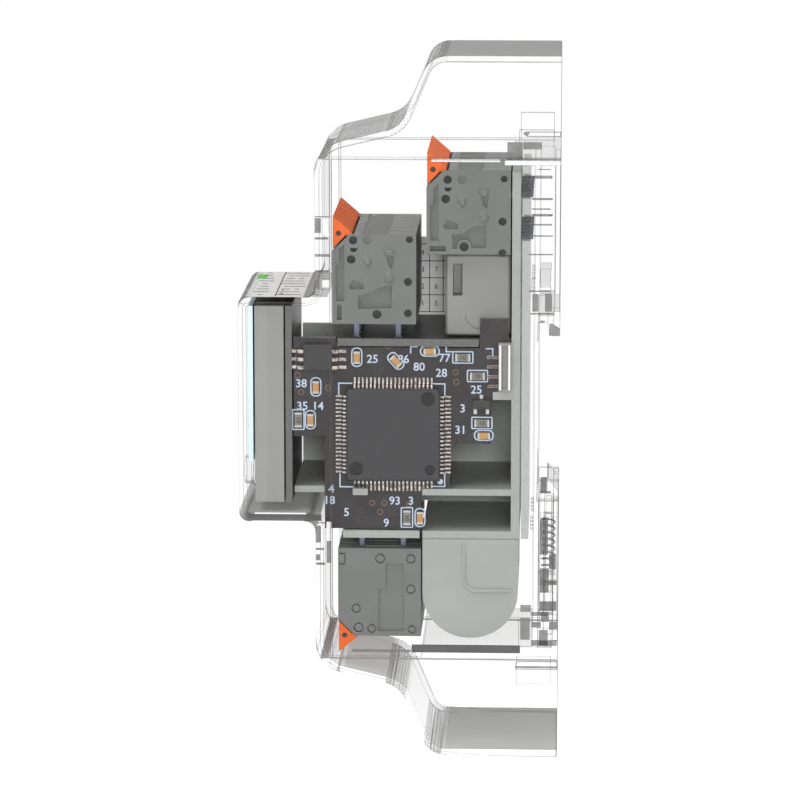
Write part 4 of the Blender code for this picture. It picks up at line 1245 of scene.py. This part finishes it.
class METER_OT_rail_side(bpy.types.Operator):
    """Adds the fine ribs, lumps and catches of the clear mouldings, greyed with painted shade, and
    ledges with a painted highlight
    """

    bl_idname = "meter.rail_side"
    bl_label = "Rail Side"

    def execute(self, context):
        tongue = WALL - 0.3
        # Each piece is clear plastic veiled with painted shade, or with a painted highlight on the
        # ledges.
        case = (
            ("wall_ribs", WALL_RIBS, WALL - 0.3, WALL + SINK, clear_edge_shade()),
            ("wall_lumps", WALL_LUMPS, WALL - 0.2, WALL + SINK, deep_clear_shade()),
            ("wall_ledges", WALL_LEDGES, WALL - 0.4, WALL + SINK, edge_highlight()),
            ("tongue_lumps", TONGUE_LUMPS, tongue - SINK, tongue + 0.1, deep_clear_shade()),
            ("floor_edge_shades", FLOOR_EDGE_SHADES, WALL - 0.2, WALL + SINK, shaded_clear()),
        )
        for name, areas, low, high, material in case:
            show(slabs(name, areas, low, high, 0.04, 1), material, "clear_plastic")
        lumps = slabs("foot_lumps", FOOT_LUMPS, FOOT_SIDE - SINK, FOOT_SIDE + 0.1, 0.04, 1)
        show(lumps, deep_clear_shade(), "clear_plastic", body="rail_foot")
        side = CAD_BOX[1].x / MM
        hook = plate("hook_end", HOOK_END, side - 0.3, side - SINK)
        show(soften(hook, 0.04 * MM, 1), deep_clear_shade(), "clear_plastic")
        catches = ((UPPER_CATCH, UPPER_TOOTH), (LOWER_CATCH, LOWER_TOOTH))
        for cover, (outline, tooth) in zip(COVERS, catches):
            catch = ring("catch", outline, CATCH_LINE, WALL - 0.1, WALL + SINK)
            tooth = plate("tooth", tooth, WALL - 0.1, WALL + SINK)
            piece = soften(join(cover + "_catch", [catch, tooth]), 0.02 * MM, 1)
            show(piece, deep_clear_shade(), "clear_plastic", body=cover)
        return {"FINISHED"}


class METER_OT_terminal_rows(bpy.types.Operator):
    """Makes the three grey terminal rows with their moulded marks"""

    bl_idname = "meter.terminal_rows"
    bl_label = "Terminal Rows"

    def execute(self, context):
        for row in ("rear", "front", "lower"):
            node = row + "_terminal_block"
            piece = copy_of(node, row + "_row")
            low, high = corners(node)
            if row == "lower":
                self.widen_entries(piece, low, low.z, -1)
            else:
                self.widen_entries(piece, low, high.z, 1)
            self.pole_lines(piece, low, high)
            floors = []
            for side in (1, -1):
                if row == "lower":
                    self.lower_end(piece, low.y, high.z, side)
                else:
                    floors += self.upper_end(piece, row, low.y, high.z, side)
            soften(clean(piece, 0.03 * MM), 0.09 * MM, 1, 55, 20)
            show(piece, terminal_plastic(), "terminal_plastic", node)
            # The dark discs of painted shade at the bottoms of the holes.
            if floors:
                holes = soften(join(row + "_row_hole_shades", floors), 0.02 * MM, 1)
                show(holes, ink_and_painted_shade(), "terminal_plastic")
        return {"FINISHED"}

    def widen_entries(self, piece, low, level, out):
        """Opens the mouths of the wire entries into funnels; out is 1 upwards, -1 downwards."""
        places = [(pole + 0.5 - POLES / 2) * POLE_PITCH for pole in range(POLES)]
        cut(piece, [self.funnel(x, low.y, level, out) for x in places])

    def funnel(self, x, face_y, level, out):
        """A four-sided cone, narrower than the entry at its inner end."""
        deep, over = 0.8, 0.1
        inner = ENTRY_HALF + FUNNEL - deep
        outer = ENTRY_HALF + FUNNEL + over
        long = (ENTRY_END - ENTRY_START) / 2 / ENTRY_HALF
        radii = (inner, outer) if out > 0 else (outer, inner)
        bpy.ops.mesh.primitive_cone_add(
            vertices=4,
            radius1=radii[0] * math.sqrt(2) * MM,
            radius2=radii[1] * math.sqrt(2) * MM,
            depth=(deep + over) * MM,
            location=(0, 0, 0),
            rotation=(0, 0, math.radians(45)),
        )
        cone = settle("tool")
        cone.scale = (1, long, 1)
        middle = (ENTRY_START + ENTRY_END) / 2
        cone.location = Vector((x, face_y + middle, level + out * (over - deep) / 2)) * MM
        return settle("tool")

    def pole_lines(self, piece, low, high):
        """Scores the joints between the poles round the row."""
        deep, half, over = 0.30, 0.12, 1.0
        places = [(pole - POLES / 2) * POLE_PITCH for pole in range(1, POLES)]
        sides = (
            ((low.y - over, high.z - deep), (high.y + over, high.z + over)),
            ((low.y - over, low.z - over), (high.y + over, low.z + deep)),
            ((low.y - over, low.z - over), (low.y + deep, high.z + over)),
            ((high.y - deep, low.z - over), (high.y + over, high.z + over)),
        )
        for (y0, z0), (y1, z1) in sides:
            cut(piece, [block("tool", (x - half, y0, z0), (x + half, y1, z1)) for x in places])

    def span(self, side, inner, outer):
        """From below to above the end of a row, on its right or left."""
        return sorted((side * (ROW_END + inner), side * (ROW_END + outer)))

    def outline(self, points, face_y, top):
        return [(face_y + behind, top - below) for behind, below in points]

    def upper_end(self, piece, row, face_y, top, side):
        """Makes the marks on one end of an upper row and gives back dark discs of painted shade for the
        bottoms of its holes and its notch.
        """
        over = 1.0
        lower, hole, slot = ROW_MARKS[row]
        top -= lower
        low, high = self.span(side, -0.5, over)
        behind, below, radius = END_DIMPLE
        tools = [rod("tool", face_y + behind, top - below, low, high, radius, 24)]
        for points, depth in (
            (END_CHANNEL, 0.9),
            (END_POCKET, 0.8),
            (END_STEP, 1.1),
            (END_TOE, 0.8),
            (END_NOTCH, HOLE),
            (slot, 1.6),
        ):
            low, high = self.span(side, -depth, over)
            tools.append(plate("tool", self.outline(points, face_y, top), low, high))
        cut(piece, tools)
        if row == "rear":
            low, high = self.span(side, -1.3, -0.1)
            cut(piece, [rod("boss", face_y + hole[0], top - hole[1], low, high, BOSS, 24)], "UNION")
        tools = []
        # A dark disc of painted shade at the bottom of the notch and of each hole.
        notch = self.outline(END_NOTCH, face_y, top)
        floors = [plate("floor", notch, *self.span(side, *HOLE_SHADE_DISC))]
        for behind, below, radius in (*END_HOLES, hole):
            place = (face_y + behind, top - below)
            tools.append(rod("tool", *place, *self.span(side, -HOLE, over), radius, 24))
            floors.append(rod("floor", *place, *self.span(side, *HOLE_SHADE_DISC), radius, 24))
        cut(piece, tools)
        low, high = self.span(side, -0.6, 0.6)
        lump = plate("lump", self.outline(END_WEDGE, face_y, top), low, high)
        lumps = [bevel(lump, 0.42 * MM, "ANGLE")]
        ends = (side * (ROW_END - 0.1), side * (ROW_END + 0.9))
        for points, summit in ((END_KITE, END_KITE_TOP), (END_HOUSE, END_HOUSE_TOP)):
            summit = self.outline([summit], face_y, top)[0]
            lumps.append(peak("lump", self.outline(points, face_y, top), *ends, summit))
        cut(piece, lumps, "UNION")
        return floors

    def lower_end(self, piece, face_y, top, side):
        low, high = self.span(side, -0.6, 1.0)
        tools = []
        for behind, below, radius in LOWER_RINGS:
            outline = circle(face_y + behind, top - below, radius, 24)
            tools.append(ring("tool", outline, 0.26, low, high))
        tools.append(plate("tool", self.outline(LOWER_HOOK, face_y, top), low, high))
        low, high = self.span(side, -0.55, 1.0)
        tools.append(plate("tool", self.outline(LOWER_PANEL, face_y, top), low, high))
        cut(piece, tools)


class METER_OT_levers(bpy.types.Operator):
    """Makes the eighteen orange levers"""

    bl_idname = "meter.levers"
    bl_label = "Levers"

    def execute(self, context):
        for row in ("rear", "front", "lower"):
            first = f"{row}_lever_1"
            model = copy_of(first, "lever_model")
            low, high = corners(first)
            y = low.y + PIVOT[0]
            z = high.z - PIVOT[1] if row == "lower" else low.z + PIVOT[1]
            dress(model, lever_plastic())
            self.add_pivot_shades(model, low, high, y, z)
            for pole in range(POLES):
                node = f"{row}_lever_{pole + 1}"
                lever = twin(model, node + "_arm", (pole * POLE_PITCH, 0, 0))
                fit(lever, node, "lever_plastic", node)
            drop(model)
        return {"FINISHED"}

    def add_pivot_shades(self, model, low, high, y, z):
        """Painted shade: a dark disc sunk into the pivot hole on each side of the lever, where the hole
        is in shade.
        """
        depth, over, radius = 0.5, 0.5, 0.52
        ends = ((low.x - over, low.x + depth), (high.x - depth, high.x + over))
        cut(model, [rod("tool", y, z, start, end, radius, 20) for start, end in ends])
        soften(model, 0.10 * MM, 2, 35)
        # Dark discs of painted shade, set below the mouths of the pivot holes.
        tips = ((low.x + 0.2, low.x + 1.0), (high.x - 1.0, high.x - 0.2))
        pins = [rod("pin", y, z, start, end, radius + SINK, 20) for start, end in tips]
        for pin in pins:
            dress(pin, ink_and_painted_shade())
        join("lever_model", [model, *pins])


class METER_OT_contacts(bpy.types.Operator):
    """Finishes the stamped contacts"""

    bl_idname = "meter.contacts"
    bl_label = "Contacts"

    def execute(self, context):
        for row in ("rear", "front", "lower"):
            for pole in range(1, POLES + 1):
                paint(f"{row}_contact_{pole}", pin_metal())
        return {"FINISHED"}


class METER_OT_boards(bpy.types.Operator):
    """Finishes the boards and the carrier"""

    bl_idname = "meter.boards"
    bl_label = "Boards and Carrier"

    def execute(self, context):
        paint("main_board", main_mask())
        paint("display_board", display_mask())
        paint("upper_terminal_board", upper_mask())
        paint("lower_terminal_board", terminal_board())
        paint("rear_board", pale_board())
        self.carrier()
        for index in range(1, 4):
            paint(f"current_transformer_{index}", transformer_core())
        return {"FINISHED"}

    def carrier(self):
        """The pale moulding with a scored cup, and its rib, its clip and its lug."""
        piece = copy_of("inner_carrier", "carrier_moulding")
        cut(piece, [slab("tool", CARRIER_SCORE, ROW_END - 0.25, ROW_END + 1)])
        show(soften(piece, 0.12 * MM), carrier_plastic(), "carrier_plastic", "inner_carrier")
        rib = plate("cup_rib", CUP_RIB, ROW_END - SINK, ROW_END + 0.55)
        clip = slab("clip", CARRIER_CLIP, BOARD_FACE - SINK, BOARD_FACE + 1.4)
        lug = slab("lug", CARRIER_LUG, BOARD_FACE, ROW_END)
        fittings = [soften(rib, 0.28 * MM, 3, 60), soften(clip, 0.1 * MM), soften(lug, 0.1 * MM)]
        show(join("carrier_fittings", fittings), carrier_plastic(), "carrier_plastic")


class METER_OT_chip(bpy.types.Operator):
    """Makes the large chip and its legs"""

    bl_idname = "meter.chip"
    bl_label = "Large Chip"

    def execute(self, context):
        body = copy_of("metering_chip", "chip_body")
        low, high = corners("metering_chip")
        bevel(body, 0.28 * MM)
        tools = []
        floors = []
        deep = 0.35
        for y, z, radius in CHIP_DIMPLES:
            tools.append(rod("tool", y, z, high.x - deep, high.x + 1, radius, 32))
            floors.append(rod("floor", y, z, high.x - deep - SINK, high.x - deep + SINK, radius, 32))
        cut(body, tools)
        show(body, chip_plastic(), "chip_plastic", "metering_chip")
        floor = bevel(join("chip_dimples", floors), SINK / 2 * MM)
        show(floor, polished_dimple(), "chip_plastic")
        show(self.legs(low, high), leg_metal(), "tinned_contact")
        return {"FINISHED"}

    def legs(self, low, high):
        """One bent leg, then copies of it along the four sides."""
        half = (high.y - low.y) / 2
        y = (low.y + high.y) / 2
        z = (low.z + high.z) / 2
        wide = sizes().leg_width / MM
        leg = bent_leg((half - 0.1, half + 0.55, half + 0.90, half + 2.1), 0.62, 0.14, 0.1, wide)
        soften(leg, 0.03 * MM, 1, 30)
        pitch = sizes().leg_pitch / MM
        count = sizes().legs
        made = []
        for quarter in range(4):
            turn = 90 * quarter
            for index in range(count):
                offset = (index - (count - 1) / 2) * pitch
                cos, sin = math.cos(math.radians(turn)), math.sin(math.radians(turn))
                shift = (0, y - offset * sin, z + offset * cos)
                made.append(twin(leg, "leg", shift, turn))
        drop(leg)
        return join("chip_legs", made)


class METER_OT_small_parts(bpy.types.Operator):
    """Makes the small parts on the main board"""

    bl_idname = "meter.small_parts"
    bl_label = "Small Parts"

    def execute(self, context):
        self.chips(CAPACITORS, "capacitor", ceramic(), *CAPACITOR_SIZE)
        self.chips(RESISTORS, "resistor", resistor_glaze(), *RESISTOR_SIZE)
        self.resistor_marks()
        self.driver()
        self.transistor()
        self.connector()
        self.rings()
        return {"FINISHED"}

    def chips(self, places, name, material, half, wide, height):
        """Two-ended parts: one body and one pair of caps, copied to every place."""
        base = BOARD_FACE
        cap, proud = 0.38, 0.04
        body = block("body", (base, -half + cap, -wide), (base + height, half - cap, wide))
        soften(body, 0.08 * MM)
        caps = []
        for side in (-1, 1):
            start, end = sorted((side * (half - cap - SINK), side * half))
            low = (base, start, -wide - proud)
            high = (base + height + proud, end, wide + proud)
            caps.append(soften(block("cap", low, high), 0.1 * MM))
        pair = join("caps", caps)
        bodies = [twin(body, "body", (0, y, z), turn) for y, z, turn in places]
        tips = [twin(pair, "caps", (0, y, z), turn) for y, z, turn in places]
        drop(body)
        drop(pair)
        show(join(name + "_bodies", bodies), material, "chip_plastic")
        show(join(name + "_caps", tips), tinned_contact(), "tinned_contact")

    def resistor_marks(self):
        level = BOARD_FACE + RESISTOR_SIZE[2]
        marks = []
        for y, z, turn in RESISTORS:
            marks.append(text("mark", "10", 1.25, (level, y, z), (90, turn, 90), 0.02))
        show(join("resistor_marks", marks), ink_and_painted_shade(), "black_board")

    def driver(self):
        """The chip with legs on two sides in the board's upper corner."""
        body = slab("driver_body", DRIVER_BODY, BOARD_FACE + 0.1, BOARD_FACE + 1.35)
        show(soften(body, 0.2 * MM), chip_plastic(), "chip_plastic")
        leg = bent_leg((0, 0.8, 1.4, 2.9), 0.73, 0.23, 0.15, 0.7)
        soften(leg, 0.05 * MM, 1, 30)
        left, _, right, _ = DRIVER_BODY
        made = []
        for z in DRIVER_LEGS:
            made.append(twin(leg, "leg", (0, right - SINK, z)))
            made.append(twin(leg, "leg", (0, left + SINK, z), 180))
        drop(leg)
        show(join("driver_legs", made), leg_metal(), "tinned_contact")

    def transistor(self):
        body = slab("transistor_body", TRANSISTOR_BODY, BOARD_FACE + 0.1, BOARD_FACE + 1.0)
        show(soften(body, 0.15 * MM), chip_plastic(), "chip_plastic")
        feet = slabs("transistor_feet", TRANSISTOR_FEET, BOARD_FACE, BOARD_FACE + 0.25, 0.08)
        show(feet, tinned_contact(), "tinned_contact")

    def connector(self):
        """The upright board connector at the rear edge, with its leads."""
        base = BOARD_FACE
        shell = slab("connector_shell", CONNECTOR_SHELL, base, base + 1.3)
        cut(shell, [slab("tool", CONNECTOR_WELL, base + 0.6, base + 2)])
        show(soften(shell, 0.15 * MM), module_plastic(), "module_grey")
        bars = slabs("connector_bars", CONNECTOR_BARS, base + 1.1, base + 1.38, 0.08)
        show(bars, white_nylon(), "carrier_plastic")
        tip, root = LEAD_ENDS
        areas = [(tip, z - LEAD_HALF, root, z + LEAD_HALF) for z in CONNECTOR_LEADS]
        leads = slabs("connector_leads", areas, base, base + 0.3, 0.08)
        show(leads, leg_metal(), "tinned_contact")

    def rings(self):
        """Copper rings where tracks go through the board."""
        made = []
        for y, z in VIAS:
            outline = circle(y, z, 0.58)
            made.append(ring("ring", outline, 0.14, BOARD_FACE, BOARD_FACE + PRINT))
        show(join("board_rings", made), bare_copper(), "tinned_contact")


class METER_OT_board_print(bpy.types.Operator):
    """Prints outlines and plain numbers on the main board"""

    bl_idname = "meter.board_print"
    bl_label = "Board Print"

    def execute(self, context):
        base = BOARD_FACE
        width = sizes().print_width / MM
        strokes = []
        for y, z, turn in CAPACITORS:
            outline = rounded(y, z, *CAPACITOR_PRINT, turn)
            strokes.append(ring("stroke", outline, width, base, base + PRINT))
        for y, z, turn in RESISTORS:
            outline = rounded(y, z, *RESISTOR_PRINT, turn, 2)
            strokes.append(ring("stroke", outline, width, base, base + PRINT))
        for corner in CHIP_CORNERS:
            strokes.append(self.corner(*corner, CHIP_ARM, width))
        for corner in PART_CORNERS:
            strokes.append(self.corner(*corner, PART_ARM, width))
        strokes.append(plate("stroke", circle(*CHIP_DOT), base, base + PRINT))
        height = sizes().number_height / MM
        for words, y, z in BOARD_NUMBERS:
            place = (base + PRINT / 2, y, z)
            strokes.append(text("stroke", words, height, place, (90, 0, 90), 0.03))
        show(join("board_print", strokes), board_print(), "pale_board")
        return {"FINISHED"}

    def corner(self, y, z, way_y, way_z, arm, width):
        """Two strokes that meet in a corner."""
        outline = (
            (y, z),
            (y + way_y * arm, z),
            (y + way_y * arm, z + way_z * width),
            (y + way_y * width, z + way_z * width),
            (y + way_y * width, z + way_z * arm),
            (y, z + way_z * arm),
        )
        return plate("stroke", outline, BOARD_FACE, BOARD_FACE + PRINT)


class METER_OT_supply(bpy.types.Operator):
    """Finishes the supply box"""

    bl_idname = "meter.supply"
    bl_label = "Supply Box"

    def execute(self, context):
        box = copy_of("supply_module", "supply_box")
        side = corners("supply_module")[1].x
        line = plate("tool", SUPPLY_LINE, side - 0.3, side + 1)
        cut(box, [line, slab("tool", SUPPLY_SLOT, side - 4, side + 1)])
        show(soften(box, 0.12 * MM), module_plastic(), "module_grey", "supply_module")
        return {"FINISHED"}


class METER_OT_display(bpy.types.Operator):
    """Finishes the display head"""

    bl_idname = "meter.display"
    bl_label = "Display"

    def execute(self, context):
        glass = soften(copy_of("display_glass", "display_panes"), 0.1 * MM)
        show(glass, display_glass(), "display_glass", "display_glass")
        guide = soften(copy_of("backlight", "display_light"), 0.15 * MM)
        show(guide, backlight_plastic(), "module_grey", "backlight")
        paint("button_switch", chip_plastic())
        self.digits()
        return {"FINISHED"}

    def digits(self):
        """Plain numbers on the face of the display."""
        low, high = corners("display_glass")
        level = low.y - PRINT / 2
        middle = (low.z + high.z) / 2
        ink = [
            text("ink", "012345", 7.0, (0, level, middle + 3.0), (90, 0, 0), 0.12),
            text("ink", "1 2 3", 3.0, (0, level, middle - 6.0), (90, 0, 0), 0.05),
        ]
        show(join("display_digits", ink), ink_and_painted_shade(), "black_board")


class METER_OT_spring(bpy.types.Operator):
    """Winds the spring behind the foot"""

    bl_idname = "meter.spring"
    bl_label = "Foot Spring"

    def execute(self, context):
        low, high = corners("foot_spring")
        middle = (low + high) / 2
        wire, turns, steps = 0.4, 8, 24
        radius = (high.x - low.x - wire) / 2
        rise = high.z - low.z - wire
        bpy.ops.mesh.primitive_circle_add(
            vertices=10,
            radius=wire / 2 * MM,
            location=(radius * MM, 0, 0),
            rotation=(math.radians(90), 0, 0),
        )
        coil = settle("foot_coil")
        modify(
            coil,
            "SCREW",
            axis="Z",
            steps=steps,
            render_steps=steps,
            iterations=turns,
            screw_offset=rise / turns * MM,
            use_merge_vertices=False,
        )
        edit(coil)
        bpy.ops.mesh.fill_holes(sides=0)
        bpy.ops.mesh.select_all(action="SELECT")
        bpy.ops.mesh.normals_make_consistent(inside=False)
        leave()
        coil.location = Vector((middle.x, middle.y, low.z + wire / 2)) * MM
        settle("foot_coil")
        bpy.ops.object.shade_smooth_by_angle(angle=math.radians(50))
        show(coil, spring_steel(), "spring_steel", "foot_spring")
        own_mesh(coil)
        return {"FINISHED"}


class METER_OT_prints(bpy.types.Operator):
    """Lays the label on the display head: rules, plain numbers and a green mark"""

    bl_idname = "meter.prints"
    bl_label = "Prints"

    def execute(self, context):
        ground = self.ink(*LABEL_GROUND, LABEL_TOP, "head_label")
        show(soften(ground, 0.01 * MM, 1), label_ground(), "pale_board")
        level = LABEL_TOP + PRINT
        end, stroke, bar = LABEL_RULE_END, 0.12, 0.25
        ink = [self.ink((-end, y - stroke), (end, y + stroke), level) for y in LABEL_RULES]
        for column, y in enumerate(LABEL_COLUMNS):
            for row in range(LABEL_BARS):
                x = FIRST_BAR + BAR_PITCH * row
                long = 0.5 + 0.35 * ((row * 5 + column * 3) % 4)
                ink.append(self.ink((x - bar, y - long), (x + bar, y + long), level))
        for words, x, y in LABEL_NUMBERS:
            ink.append(text("ink", words, 2.4, (x, y, level + PRINT / 2), (0, 0, 90)))
        show(join("head_label_ink", ink), ink_and_painted_shade(), "black_board")
        mark = self.ink(*LABEL_MARK, level, "head_label_mark")
        show(soften(mark, 0.01 * MM, 1), green_mark(), "pale_board")
        self.side_label()
        return {"FINISHED"}

    def ink(self, low, high, level, name="ink"):
        """A printed oblong on the head, between two corners in x and y, mm."""
        return block(name, (*low, level), (*high, level + PRINT))

    def side_label(self):
        """A pale label with rules and plain numbers on the far wall."""
        low, high = PRINT - WALL, 2 * PRINT - WALL
        ground = slab("side_label", SIDE_LABEL, -WALL - SINK, low)
        show(soften(ground, 0.01 * MM, 1), label_ground(), "pale_board")
        front, rear = SIDE_RULE_ENDS
        half = SIDE_STROKE
        rules = [(front, z - half, rear, z + half) for z in SIDE_RULES]
        bottom, *_, top = SIDE_RULES
        rules += [(y - half, bottom, y + half, top) for y in SIDE_UPRIGHTS]
        ink = [slab("ink", rule, low, high) for rule in rules]
        for line, z in enumerate(SIDE_LINES):
            for column, y in enumerate(SIDE_COLUMNS):
                words = str(line + len(SIDE_LINES) * column + 1)
                ink.append(text("ink", words, 1.5, (high, y, z), (90, 0, 90)))
        show(join("side_label_ink", ink), ink_and_painted_shade(), "black_board")


class METER_PT_panel(bpy.types.Panel):
    """Lists the steps in the sidebar"""

    bl_idname = "METER_PT_panel"
    bl_label = "Rail Meter"
    bl_space_type = "VIEW_3D"
    bl_region_type = "UI"
    bl_category = "Rail Meter"

    def draw(self, context):
        for step in STEPS:
            self.layout.operator(step.bl_idname)
        for group in (finishes(), sizes(), studio()):
            box = self.layout.box()
            for key in group.bl_rna.properties.keys():
                if key not in ("rna_type", "name"):
                    box.prop(group, key)


STEPS = (
    METER_OT_stage,
    METER_OT_shells,
    METER_OT_rail_side,
    METER_OT_terminal_rows,
    METER_OT_levers,
    METER_OT_contacts,
    METER_OT_boards,
    METER_OT_chip,
    METER_OT_small_parts,
    METER_OT_board_print,
    METER_OT_supply,
    METER_OT_display,
    METER_OT_spring,
    METER_OT_prints,
)
GROUPS = {
    "meter_finishes": MeterFinishes,
    "meter_sizes": MeterSizes,
    "meter_studio": MeterStudio,
}


def register():
    for made in (*GROUPS.values(), *STEPS, METER_PT_panel):
        bpy.utils.register_class(made)
    for name, group in GROUPS.items():
        setattr(bpy.types.Scene, name, PointerProperty(type=group))


def unregister():
    for name in GROUPS:
        delattr(bpy.types.Scene, name)
    for made in (METER_PT_panel, *reversed(STEPS), *GROUPS.values()):
        bpy.utils.unregister_class(made)


def main():
    register()
    bpy.ops.object.select_all(action="DESELECT")
    bpy.context.scene.cursor.location = SORT_FROM
    for step in STEPS:
        group, name = step.bl_idname.split(".")
        getattr(getattr(bpy.ops, group), name)()
    boxes = {"cad": CAD_BOX, "visual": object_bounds()}
    lists = {key: [list(corner) for corner in box] for key, box in boxes.items()}


if __name__ == "__main__":
    main()
